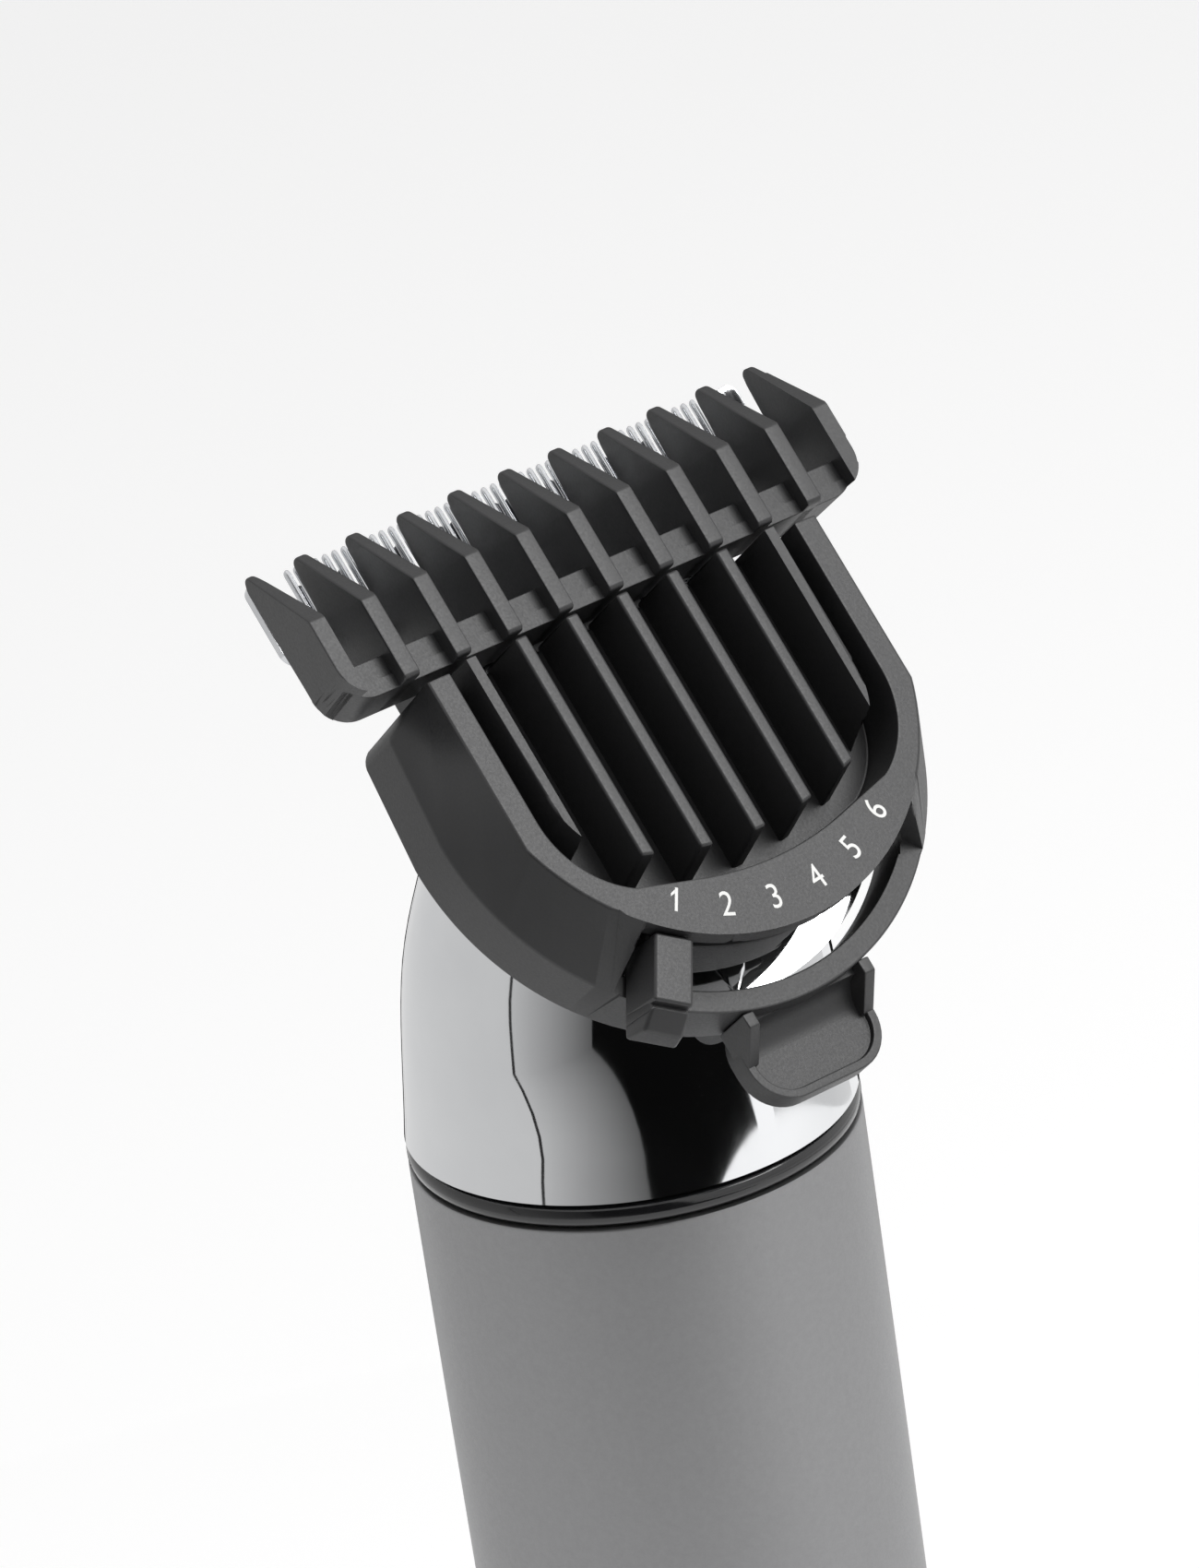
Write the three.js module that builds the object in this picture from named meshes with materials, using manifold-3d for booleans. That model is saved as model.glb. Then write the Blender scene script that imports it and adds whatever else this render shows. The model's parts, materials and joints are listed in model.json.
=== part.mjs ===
// Cordless hair clipper with an adjustable comb guard on a leaning chrome head.
// Millimetres. The origin is the centre of the bottom face, on the body's axis;
// +Z runs up the body, -Y is the front that the comb faces, +X is along the blades.
import * as THREE from 'three';
import { mergeVertices } from 'three/addons/utils/BufferGeometryUtils.js';
import { ConvexGeometry } from 'three/addons/geometries/ConvexGeometry.js';
import Module from 'manifold-3d';

const wasm = await Module();
wasm.setup();

// ---- Driving dimensions -------------------------------------------------

const GAP = 0.3;                 // left between pieces that touch
const SIDES = 40;                // facets of the large round pieces

// handle
const BODY_LENGTH = 125;         // bottom face to the top of the black collar
const BODY_RADIUS = 14.58;       // at the collar
const FOOT_RADIUS = 13.7;        // at the bottom of the sleeve
const SLEEVE_WALL = 1.1;
const COLLAR_HEIGHT = 1.5;
const CAP_HEIGHT = 7;            // moulded base cap below the sleeve
const CAP_PLUG = 5;              // part of the cap that goes up into the sleeve

// power button, in the front of the sleeve
const BUTTON_Z = 80;
const BUTTON_RADIUS = 5;
const BUTTON_TRAVEL = 0.5;
const BUTTON_PROUD = 0.6;
const LIGHT_Z = 68;
const LIGHT_RADIUS = 0.9;

// electrics
const CELL_RADIUS = 7.1;
const CELL_LENGTH = 50;
const CELL_Y = 3.2;
const CELL_Z = 16.5;
const BOARD_HALF = 7.5;
const BOARD_Y = -8.1;
const BOARD_THICK = 1;
const BOARD_LOW = 40;
const BOARD_HIGH = 90;
const SOCKET_Y = 7;
const SOCKET_HALF = 4.5;
const SOCKET_THICK = 3.2;

// motor and crank, heights above the collar's top
const MOTOR_RADIUS = 10;
const MOTOR_LENGTH = 30;
const MOTOR_TOP = 4;
const SHAFT_RADIUS = 1;
const CRANK_THROW = 0.65;
const CRANK_PIN_RADIUS = 0.6;
const CRANK_RADIUS = 2.4;
const CRANK_LOW = 13;
const CRANK_HIGH = 18.3;
const CRANK_PIN_TOP = 26.2;

// head plane: the top of the number plate, leaning back over the handle
const LEAN = THREE.MathUtils.degToRad(39.18);
const FACE_Y = -11.38;           // the dial's centre, from the body's axis
const FACE_Z = 31.52;            // and above the collar's top

// everything below is in the head's own axes: x along the blades,
// y up the head towards the comb's tips, z out of the number plate

// comb
const FIN_COUNT = 11;
const FIN_PITCH = 4;
const FIN_THICK = 1.2;
const FIN_TIP_THICK = 0.8;
const FIN_TIP = 18;
const FIN_KNEE = 13;
const COMB_REAR = 7.25;
const COMB_DEPTH = 5.1;
const COMB_DRAFT = 0.55;         // the end walls lean in by this at the bottom
const BAR_DEPTH = 2.3;           // cross bar, front to rear
const BAR_DROP = 1.2;            // its top below the fins' tops
const COMB_CORNER = 2;
const COMB_TRAVEL = 5;
const TONGUE_HALF = 4.5;
const TONGUE_THICK = 0.55;

// guard
const PLATE_HALF = 15.4;
const PLATE_RADIUS = 16.3;
const PLATE_TOP = 6.6;
const PLATE_THICK = 1.4;
const RIM_RADIUS = 17.8;
const RIM_CENTRE = -2;
const RIM_TOP = 6.1;
const RIM_TOP_HALF = 17.2;
const RIM_CORNER = 1.4;
const RIM_WALL = 1.5;
const SLOPE_DROP = 4.4;
const RIM_DEPTH = 8.4;
const RECESS_HALF = 13.7;
const RECESS_LOW = -12;
const RECESS_ARC = 23;
const RECESS_CORNER = 7;
const RECESS_DEPTH = 4.3;
const TUB_WALL = 0.5;
const FLOOR_THICK = 0.7;
const RIB_COUNT = 7;
const RIB_THICK = 0.9;
const RIB_TOP = 6.9;
const RIB_GAP = 1.3;             // between a rib's lower end and the recess wall
const SLOT_ANGLE = 40.5;         // each way from straight down
const TAB_HALF = 5.1;
const TAB_REACH = 25;
const TAB_THICK = 1.3;
const TAB_TOP = -7.5;

// dial
const DIAL_TURN = 67.5;
const DIAL_START = -33.5;        // lever at number 1, from straight down
const LEVER_WIDTH = 2.55;
const LEVER_REACH = 22.4;
const LEVER_TOP = -0.45;
const DISC_TOP = -6.15;
const DISC_THICK = 0.7;
const DISC_RADIUS = 12.2;
const FENCE_INNER = 15.5;
const FENCE_OUTER = 16.05;
const FENCE_TOP = -2.6;
const HUB_RADIUS = 4.2;
const BOSS_RADIUS = 2;
const BOSS_LOW = -7;
const CAM_PIN_RADIUS = 1;
const CAM_START = 10;            // radius of the cam at number 1
const CAM_PLAY = 0.25;

// blades
const BLADE_TOP = -6.1;
const BLADE_THICK = 0.6;
const BLADE_HALF = 19.5;
const BLADE_TIP = 18;
const BLADE_ROOT = 14.3;
const BLADE_BACK = 12.2;
const BLADE_WAIST = 12;
const BLADE_LOW = 5.6;
const SCREW_X = 9;
const SCREW_Y = 8.7;
const TOOTH_PITCH = 0.736;
const CUTTER_TOP = -7;
const CUTTER_THICK = 0.6;
const CUTTER_HALF = 17.4;
const CUTTER_TIP = 17;
const CUTTER_ROOT = 14;
const CUTTER_BACK = 9.9;
const CUTTER_PITCH = 1.1;

// chrome head
const HEAD_FACE = -8;
const FLANGE_INSET = 2.1;        // inside the guard's rim
const FLANGE_THICK = 1;
const HEAD_WALL = 1.3;
const HEAD_SECTIONS = [          // height above the collar, half width, depth behind the axis
  [0, 14.58, 14.58], [12, 13.2, 12.5], [22, 10.1, 9], [30, 9.1, 7.9], [38, 8.4, 4.6],
];
const HEAD_FRONT = 14.58;        // the front stays upright up to the slanted face
const WINDOW_HALF = 6.9;         // opening for the drive, in the slanted face
const WINDOW_LOW = 2.5;
const WINDOW_DEPTH = -12.5;
const SEAT_HALF = 12;            // blade carrier
const SEAT_LOW = 4.6;
const SEAT_HIGH = 12.2;
const SEAT_BACK = -10;

// drive arm
const ARM_TOP = -12.8;
const ARM_THICK = 1.4;
const ARM_PIVOT = -8;
const ARM_POST = 8;
const ARM_POST_RADIUS = 1.1;
const ARM_PIN_RADIUS = 1;

// ---- Small tools --------------------------------------------------------

const rad = THREE.MathUtils.degToRad;
const point = (x, y) => new THREE.Vector2(x, y);

/** Points along an arc, angles in degrees from +x. */
function arc(x, y, radius, from, to, steps = 8) {
  return Array.from({ length: steps + 1 }, (_, i) => {
    const angle = rad(from + ((to - from) * i) / steps);
    return point(x + radius * Math.cos(angle), y + radius * Math.sin(angle));
  });
}

/** Shared vertices, no empty triangles, faces outwards. */
function closed(geometry) {
  const bare = new THREE.BufferGeometry();
  bare.setAttribute('position', geometry.getAttribute('position'));
  bare.setIndex(geometry.index);
  const merged = mergeVertices(bare, 1e-4);
  const place = merged.getAttribute('position');
  const corners = merged.index.array;
  const kept = [];
  let volume = 0;
  const [a, b, c] = [new THREE.Vector3(), new THREE.Vector3(), new THREE.Vector3()];
  for (let i = 0; i < corners.length; i += 3) {
    const [p, q, r] = [corners[i], corners[i + 1], corners[i + 2]];
    if (p === q || q === r || r === p) continue;
    kept.push(p, q, r);
    a.fromBufferAttribute(place, p);
    b.fromBufferAttribute(place, q);
    c.fromBufferAttribute(place, r);
    volume += a.dot(b.cross(c));
  }
  if (volume < 0) kept.reverse();
  merged.setIndex(kept);
  return merged;
}

function solid(geometry) {
  const shape = closed(geometry);
  return new wasm.Manifold(new wasm.Mesh({
    numProp: 3,
    vertProperties: Float32Array.from(shape.getAttribute('position').array),
    triVerts: Uint32Array.from(shape.index.array),
  }));
}

function geometryOf(body) {
  const mesh = body.getMesh();
  const geometry = new THREE.BufferGeometry();
  geometry.setAttribute('position', new THREE.BufferAttribute(mesh.vertProperties, 3));
  geometry.setIndex(new THREE.BufferAttribute(mesh.triVerts, 1));
  return geometry;
}

const join = (first, ...rest) =>
  geometryOf(rest.reduce((sum, next) => sum.add(solid(next)), solid(first)));
const cut = (first, ...rest) =>
  geometryOf(rest.reduce((left, next) => left.subtract(solid(next)), solid(first)));
const common = (first, second) => geometryOf(solid(first).intersect(solid(second)));

/** A flat outline with holes, thickened from low to high along z. */
function slab(outline, low, high, holes = []) {
  const shape = new THREE.Shape(outline);
  shape.holes = holes.map((hole) => new THREE.Path(hole));
  const geometry = new THREE.ExtrudeGeometry(shape, { depth: high - low, bevelEnabled: false });
  return geometry.translate(0, 0, low);
}

function block([x0, x1], [y0, y1], [z0, z1]) {
  const geometry = new THREE.BoxGeometry(x1 - x0, y1 - y0, z1 - z0);
  return geometry.translate((x0 + x1) / 2, (y0 + y1) / 2, (z0 + z1) / 2);
}

/** A round bar along z. */
function rod(radius, low, high, sides = 24) {
  const geometry = new THREE.CylinderGeometry(radius, radius, high - low, sides);
  return geometry.rotateX(Math.PI / 2).translate(0, 0, (low + high) / 2);
}

/** A closed profile of [radius, height] pairs turned about z. */
function turned(profile, sides = SIDES) {
  const loop = [...profile, profile[0]].map(([radius, height]) => point(radius, height));
  return new THREE.LatheGeometry(loop, sides).rotateX(Math.PI / 2);
}

const tube = (inner, outer, low, high, sides = SIDES) =>
  turned([[inner, low], [outer, low], [outer, high], [inner, high]], sides);

/** The outer skin over flat outlines, each at its own height. */
function skin(...layers) {
  const cloud = layers.flatMap(([outline, z]) => outline.map((p) => new THREE.Vector3(p.x, p.y, z)));
  return new ConvexGeometry(cloud);
}

/** A closed body through rings with the same number of points. */
function loft(rings) {
  const count = rings[0].length;
  const middle = (ring) => ring.reduce((sum, p) => sum.add(p), new THREE.Vector3()).divideScalar(count);
  const points = [...rings.flat(), middle(rings[0]), middle(rings.at(-1))];
  const [bottom, top] = [points.length - 2, points.length - 1];
  const faces = [];
  for (let i = 0; i < count; i += 1) {
    const next = (i + 1) % count;
    for (let level = 0; level + 1 < rings.length; level += 1) {
      const [a, b] = [level * count + i, level * count + next];
      faces.push(a, b, b + count, a, b + count, a + count);
    }
    const last = (rings.length - 1) * count;
    faces.push(bottom, next, i, top, last + i, last + next);
  }
  const geometry = new THREE.BufferGeometry().setFromPoints(points);
  return geometry.setIndex(faces);
}

// ---- Groups -------------------------------------------------------------

const clipper = new THREE.Group();
clipper.name = 'hair_clipper';
const neck = new THREE.Group();  // origin at the centre of the collar's top
neck.position.z = BODY_LENGTH;
const head = new THREE.Group();  // origin at the dial's centre, z out of the plate
head.position.set(0, FACE_Y, FACE_Z);
head.rotation.x = Math.PI / 2 - LEAN;
neck.add(head);
clipper.add(neck);
head.updateMatrix();
const fromHead = (geometry) => geometry.applyMatrix4(head.matrix);

const finishes = {
  satinMetal: new THREE.MeshStandardMaterial({ color: '#8f8f90', roughness: 0.42, metalness: 1 }),
  chrome: new THREE.MeshStandardMaterial({ color: '#d6d6d8', roughness: 0.05, metalness: 1 }),
  steel: new THREE.MeshStandardMaterial({ color: '#c9cacb', roughness: 0.2, metalness: 1 }),
  blackPlastic: new THREE.MeshStandardMaterial({ color: '#222223', roughness: 0.5 }),
  whitePlastic: new THREE.MeshStandardMaterial({ color: '#dcd9d0', roughness: 0.5 }),
  rubber: new THREE.MeshStandardMaterial({ color: '#1a1a1b', roughness: 0.8 }),
  board: new THREE.MeshStandardMaterial({ color: '#1f5a38', roughness: 0.6 }),
  cellWrap: new THREE.MeshStandardMaterial({ color: '#2f5f8c', roughness: 0.4 }),
  brass: new THREE.MeshStandardMaterial({ color: '#c9a45c', roughness: 0.3, metalness: 1 }),
  lens: new THREE.MeshStandardMaterial({ color: '#e8ece8', roughness: 0.3 }),
};

function place(name, geometry, material, parent = clipper) {
  const mesh = new THREE.Mesh(closed(geometry), material);
  mesh.name = name;
  parent.add(mesh);
  return mesh;
}

// ---- Handle -------------------------------------------------------------

const COLLAR_LOW = BODY_LENGTH - COLLAR_HEIGHT;
const SLEEVE_LOW = CAP_HEIGHT + GAP;
const SLEEVE_HIGH = COLLAR_LOW - GAP / 2;

/** Outer radius of the sleeve, which tapers very slightly to its foot. */
function sleeveRadius(z) {
  const rise = (z - SLEEVE_LOW) / (SLEEVE_HIGH - SLEEVE_LOW);
  return FOOT_RADIUS + (BODY_RADIUS - FOOT_RADIUS) * Math.sin((rise * Math.PI) / 2);
}

/** A round bar along y, from the front of the sleeve inwards. */
const frontRod = (radius, front, back, z, sides = 32) =>
  rod(radius, front, back, sides).rotateX(-Math.PI / 2).translate(0, 0, z);

function sleeve() {
  const steps = 4;
  const heights = Array.from({ length: steps + 1 },
    (_, i) => SLEEVE_LOW + ((SLEEVE_HIGH - SLEEVE_LOW) * i) / steps);
  const outside = heights.map((z) => [sleeveRadius(z), z]);
  const inside = heights.map((z) => [sleeveRadius(z) - SLEEVE_WALL, z]).reverse();
  return cut(
    turned([...outside, ...inside]),
    frontRod(BUTTON_RADIUS + GAP, -BODY_RADIUS - 1, -5, BUTTON_Z),
    frontRod(LIGHT_RADIUS + GAP / 2, -BODY_RADIUS - 1, -5, LIGHT_Z, 16),
  );
}

function baseCap() {
  const foot = FOOT_RADIUS;
  const plug = FOOT_RADIUS - SLEEVE_WALL - GAP;
  const round = 2;
  const shell = turned([
    [0, 0], [foot - round, 0], [foot - 0.6, 0.6], [foot, round], [foot, CAP_HEIGHT],
    [plug, CAP_HEIGHT], [plug, CAP_HEIGHT + CAP_PLUG], [plug - 1.4, CAP_HEIGHT + CAP_PLUG],
    [plug - 1.4, 2.4], [0, 2.4],
  ]);
  const inlet = block([-SOCKET_HALF - GAP, SOCKET_HALF + GAP],
    [SOCKET_Y - SOCKET_THICK / 2 - GAP, SOCKET_Y + SOCKET_THICK / 2 + GAP], [-1, 4]);
  const screwHoles = [-1, 1].map((side) =>
    rod(1.5, -1, 4, 16).translate(side * 8, 1, 0));
  return cut(shell, inlet, ...screwHoles);
}

function chargeSocket() {
  const wall = 0.4;
  const shell = block([-SOCKET_HALF, SOCKET_HALF],
    [SOCKET_Y - SOCKET_THICK / 2, SOCKET_Y + SOCKET_THICK / 2], [0.6, 8.6]);
  const mouth = block([-SOCKET_HALF + wall, SOCKET_HALF - wall],
    [SOCKET_Y - SOCKET_THICK / 2 + wall, SOCKET_Y + SOCKET_THICK / 2 - wall], [0, 7.4]);
  const blade = block([-2.9, 2.9], [SOCKET_Y - 0.35, SOCKET_Y + 0.35], [1.6, 7.6]);
  return join(cut(shell, mouth), blade);
}

/** The moulded trough that the cell, board and motor sit in. */
function chassis() {
  const outer = FOOT_RADIUS - SLEEVE_WALL - GAP - 0.5;
  const inner = outer - 1.1;
  const low = CAP_HEIGHT + CAP_PLUG + GAP;
  const high = BODY_LENGTH + MOTOR_TOP - 0.2;
  const shell = tube(inner, outer, low, high);
  const front = block([-20, 20], [-20, -1], [low - 1, high + 1]);
  const shelfHeights = [CELL_Z + CELL_LENGTH + 3, BODY_LENGTH + MOTOR_TOP - MOTOR_LENGTH - 3];
  const shelves = shelfHeights.map((z) => {
    const half = slab(arc(0, 0, inner + 0.3, -10, 190, 24), z, z + 1.2);
    return common(half, block([-20, 20], [-1, 20], [z - 1, z + 2]));
  });
  const feet = [-1, 1].flatMap((side) => [
    rod(1.9, low - 4, low + 1.6, 20).translate(side * 8, 1, 0),
    block(side < 0 ? [-11.2, -8] : [8, 11.2], [0, 2], [low, low + 1.6]),
  ]);
  const screwHoles = [-1, 1].map((side) => rod(0.9, 0, low + 1, 16).translate(side * 8, 1, 0));
  return cut(join(cut(shell, front), ...shelves, ...feet), ...screwHoles);
}

function battery() {
  const high = CELL_Z + CELL_LENGTH;
  return turned([
    [0, CELL_Z], [CELL_RADIUS - 0.5, CELL_Z], [CELL_RADIUS, CELL_Z + 0.5],
    [CELL_RADIUS, high - 1.5], [CELL_RADIUS - 0.5, high - 1], [2.7, high - 1], [2.7, high], [0, high],
  ], 32).translate(0, CELL_Y, 0);
}

const contactPlate = (low) =>
  block([-4, 4], [CELL_Y - 5, CELL_Y + 5], [low, low + 0.5]);

function tactSwitch() {
  const back = BOARD_Y - BOARD_THICK / 2 - GAP;
  const plunger = back - 2.6;
  return join(
    block([-3, 3], [back - 2, back], [BUTTON_Z - 3, BUTTON_Z + 3]),
    frontRod(1.6, plunger, back - 1, BUTTON_Z, 20),
  );
}

function powerButton() {
  const front = -sleeveRadius(BUTTON_Z) - BUTTON_PROUD;
  const stemEnd = BOARD_Y - BOARD_THICK / 2 - GAP - 2.6 - BUTTON_TRAVEL - 0.15;
  const cap = frontRod(BUTTON_RADIUS, front + 0.5, stemEnd - 0.8, BUTTON_Z);
  const rim = new THREE.CylinderGeometry(BUTTON_RADIUS, BUTTON_RADIUS - 0.5, 0.5, 32)
    .translate(0, front + 0.25, BUTTON_Z);
  return join(cap, rim, frontRod(1.3, stemEnd - 0.9, stemEnd, BUTTON_Z, 20));
}

function circuitBoard() {
  return block([-BOARD_HALF, BOARD_HALF],
    [BOARD_Y - BOARD_THICK / 2, BOARD_Y + BOARD_THICK / 2], [BOARD_LOW, BOARD_HIGH]);
}

function lightPipe() {
  const front = -sleeveRadius(LIGHT_Z) - 0.05;
  return frontRod(LIGHT_RADIUS, front, BOARD_Y - BOARD_THICK / 2 - GAP, LIGHT_Z, 16);
}

function screw(headRadius, headHigh, shankRadius, length) {
  const shank = rod(shankRadius, -length, 0, 12);
  const top = turned([[0, -0.05], [headRadius, -0.05], [headRadius, headHigh * 0.6],
    [headRadius * 0.75, headHigh], [0, headHigh]], 20);
  const slot = block([-headRadius, headRadius], [-0.2, 0.2], [headHigh * 0.5, headHigh + 1]);
  return cut(join(top, shank), slot);
}

place('sleeve', sleeve(), finishes.satinMetal);
place('base_cap', baseCap(), finishes.blackPlastic);
place('charge_socket', chargeSocket(), finishes.steel);
place('chassis', chassis(), finishes.blackPlastic);
place('battery_cell', battery(), finishes.cellWrap);
place('battery_contact_lower', contactPlate(CELL_Z - 1), finishes.brass);
place('battery_contact_upper', contactPlate(CELL_Z + CELL_LENGTH + 0.5), finishes.brass);
place('circuit_board', circuitBoard(), finishes.board);
place('tact_switch', tactSwitch(), finishes.whitePlastic);
place('power_button', powerButton(), finishes.blackPlastic);
place('charge_light', lightPipe(), finishes.lens);
for (const [side, name] of [[-1, 'left'], [1, 'right']]) {
  const mesh = place(`base_screw_${name}`, screw(1.3, 0.8, 0.7, 10).rotateX(Math.PI), finishes.steel);
  mesh.position.set(side * 8, 1, 1.5);
}
place('collar_ring', tube(BODY_RADIUS - 1.2, BODY_RADIUS, COLLAR_LOW, BODY_LENGTH - GAP / 2),
  finishes.blackPlastic);

// ---- Motor and crank ----------------------------------------------------

function motorCan() {
  const low = MOTOR_TOP - MOTOR_LENGTH;
  const can = turned([[0, low], [MOTOR_RADIUS - 1, low], [MOTOR_RADIUS, low + 1],
    [MOTOR_RADIUS, MOTOR_TOP - 1], [MOTOR_RADIUS - 1, MOTOR_TOP], [3, MOTOR_TOP],
    [3, MOTOR_TOP + 1.4], [0, MOTOR_TOP + 1.4]], 40);
  const bore = rod(SHAFT_RADIUS + 0.05, MOTOR_TOP - 12, MOTOR_TOP + 3, 24);
  const screwHoles = [-1, 1].map((side) => rod(1, MOTOR_TOP - 3, MOTOR_TOP + 1, 12)
    .translate(side * 5.5, 0, 0));
  return cut(can, bore, ...screwHoles);
}

function motorMount() {
  const low = MOTOR_TOP + GAP;
  const radius = BODY_RADIUS - HEAD_WALL - 0.6;
  return cut(rod(radius - 0.8, low, low + 1.6, SIDES), rod(3.4, low - 1, low + 3, 24),
    ...[-1, 1].map((side) => rod(1, low - 1, low + 3, 12).translate(side * 5.5, 0, 0)));
}

function crank() {
  const body = rod(CRANK_RADIUS, CRANK_LOW, CRANK_HIGH, 24);
  const pin = rod(CRANK_PIN_RADIUS, CRANK_HIGH - 0.5, CRANK_PIN_TOP, 16)
    .translate(CRANK_THROW, 0, 0);
  const bore = rod(SHAFT_RADIUS + GAP / 2, CRANK_LOW - 1, CRANK_HIGH - 1, 20);
  return join(cut(body, bore), pin);
}

place('motor_can', motorCan(), finishes.steel, neck);
place('motor_shaft', rod(SHAFT_RADIUS, MOTOR_TOP - 11.5, CRANK_HIGH - 1.3, 20), finishes.steel, neck);
place('motor_mount', motorMount(), finishes.whitePlastic, neck);
place('crank', crank(), finishes.brass, neck);
for (const [side, name] of [[-1, 'left'], [1, 'right']]) {
  const mesh = place(`motor_screw_${name}`, screw(1.5, 0.8, 0.7, 4), finishes.steel, neck);
  mesh.position.set(side * 5.5, 0, MOTOR_TOP + GAP + 1.6 + GAP / 2);
}

// ---- Chrome head --------------------------------------------------------

/** The solid neck: egg-shaped rings that narrow upwards and behind, inset by a wall. */
function neckSolid(inset, low, high) {
  const steps = 8;
  const line = new THREE.CatmullRomCurve3(
    HEAD_SECTIONS.map(([z, half, back]) => new THREE.Vector3(half, back, z)));
  const rings = Array.from({ length: steps + 1 }, (_, i) => {
    const at = line.getPoint(i / steps);
    const z = low + (high - low) * (at.z / HEAD_SECTIONS.at(-1)[0]);
    return arc(0, 0, 1, 0, 360 - 360 / SIDES, SIDES - 1).map((p) => new THREE.Vector3(
      p.x * (at.x - inset), p.y * ((p.y > 0 ? at.y : HEAD_FRONT) - inset), z));
  });
  return loft(rings);
}

/** Outline of the guard's rim, moved inwards by inset. */
function rimOutline(inset = 0, steps = 26) {
  const half = RIM_TOP_HALF - inset;
  const top = RIM_TOP - inset;
  const small = RIM_CORNER * 0.35;
  return [
    ...arc(0, RIM_CENTRE, RIM_RADIUS - inset, 0, -180, steps),
    point(-half, top - RIM_CORNER), point(-half + small, top - small),
    point(-half + RIM_CORNER, top), point(half - RIM_CORNER, top),
    point(half - small, top - small), point(half, top - RIM_CORNER),
  ];
}

const aboveFace = () => fromHead(block([-40, 40], [-60, 60], [HEAD_FACE, 40]));

function headShell() {
  const height = HEAD_SECTIONS.at(-1)[0];
  const outer = cut(neckSolid(0, GAP / 2, height), aboveFace());
  const flange = fromHead(slab(rimOutline(FLANGE_INSET), HEAD_FACE - FLANGE_THICK, HEAD_FACE));
  const inner = cut(neckSolid(HEAD_WALL, -1, height - HEAD_WALL),
    fromHead(block([-40, 40], [-60, 60], [HEAD_FACE - HEAD_WALL, 40])));
  const window = fromHead(block([-WINDOW_HALF, WINDOW_HALF], [WINDOW_LOW, 30],
    [WINDOW_DEPTH, 10]));
  const seat = fromHead(block([-SEAT_HALF - GAP, SEAT_HALF + GAP], [SEAT_LOW - GAP, 30],
    [SEAT_BACK - GAP, 10]));
  return cut(join(outer, flange), inner, window, seat);
}

/** Frame inside the head: a ring on the motor mount, and a bridge that holds the arm's pivot. */
function headFrame() {
  const low = MOTOR_TOP + GAP + 1.6 + GAP;
  const ring = tube(8, BODY_RADIUS - HEAD_WALL - 1.6, low, low + 1.8);
  const legs = [-1, 1].map((side) => block([side * 6 - 1.2, side * 6 + 1.2], [-8.6, -5.4],
    [low + 1, 16.5]));
  const bridge = fromHead(block([-7.2, 7.2], [-11.4, -6.3], [ARM_TOP - ARM_THICK - GAP - 1.3,
    ARM_TOP - ARM_THICK - GAP]));
  const bore = fromHead(rod(ARM_PIN_RADIUS + 0.15, -30, 0, 24).translate(0, ARM_PIVOT, 0));
  return cut(join(ring, ...legs, bridge), bore);
}

place('head_shell', headShell(), finishes.chrome, neck);
place('head_frame', headFrame(), finishes.blackPlastic, neck);
place('neck_seal', tube(BODY_RADIUS - 2.3, BODY_RADIUS - 1.5, COLLAR_LOW + 0.2 - BODY_LENGTH, -0.2),
  finishes.rubber, neck);

// ---- Drive arm and blades ----------------------------------------------

function driveArm() {
  const low = ARM_TOP - ARM_THICK;
  const outline = [...arc(0, ARM_PIVOT, 3, 190, 350, 10), point(4.2, -4), point(4.2, 6),
    ...arc(0, ARM_POST, 1.6, 0, 180, 10), point(-4.2, 6), point(-4.2, -4)];
  const slotHalf = CRANK_THROW * 2 + CRANK_PIN_RADIUS + 0.2;
  const plate = slab(outline, low, ARM_TOP, [
    arc(0, ARM_PIVOT, ARM_PIN_RADIUS + 0.07, 0, 345, 23),
    [point(-slotHalf, -2.4), point(slotHalf, -2.4), point(slotHalf, 5.2), point(-slotHalf, 5.2)],
  ]);
  return join(plate, rod(ARM_POST_RADIUS, ARM_TOP - 0.5, -8.4, 20).translate(0, ARM_POST, 0));
}

function pivotPin() {
  const low = ARM_TOP - ARM_THICK - GAP - 1.2;
  return join(rod(ARM_PIN_RADIUS, low, ARM_TOP + 0.5, 24), rod(1.8, ARM_TOP + GAP, ARM_TOP + 0.9, 24))
    .translate(0, ARM_PIVOT, 0);
}

function bladeCarrier() {
  const top = BLADE_TOP - BLADE_THICK - GAP;
  const corner = 2;
  const seat = slab([point(-SEAT_HALF, SEAT_LOW), point(SEAT_HALF, SEAT_LOW),
    ...arc(SEAT_HALF - corner, SEAT_HIGH - corner, corner, 0, 90, 4),
    ...arc(-SEAT_HALF + corner, SEAT_HIGH - corner, corner, 90, 180, 4)], SEAT_BACK, top);
  const plug = block([-WINDOW_HALF + GAP, WINDOW_HALF - GAP], [WINDOW_LOW + GAP, SEAT_HIGH],
    [WINDOW_DEPTH + GAP, HEAD_FACE]);
  const travel = block([-5.8, 5.8], [6, 11.3], [WINDOW_DEPTH - 1, 0]);
  const crankRoom = block([-3.4, 3.4], [0, 7], [WINDOW_DEPTH - 1, SEAT_BACK]);
  const cutterBed = block([-30, 30], [CUTTER_BACK - GAP, 20], [CUTTER_TOP - CUTTER_THICK - GAP, 0]);
  const screwHoles = [-1, 1].map((side) => rod(1, -11, 0, 12).translate(side * SCREW_X, SCREW_Y, 0));
  return cut(join(seat, plug), travel, crankRoom, cutterBed, ...screwHoles);
}

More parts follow.
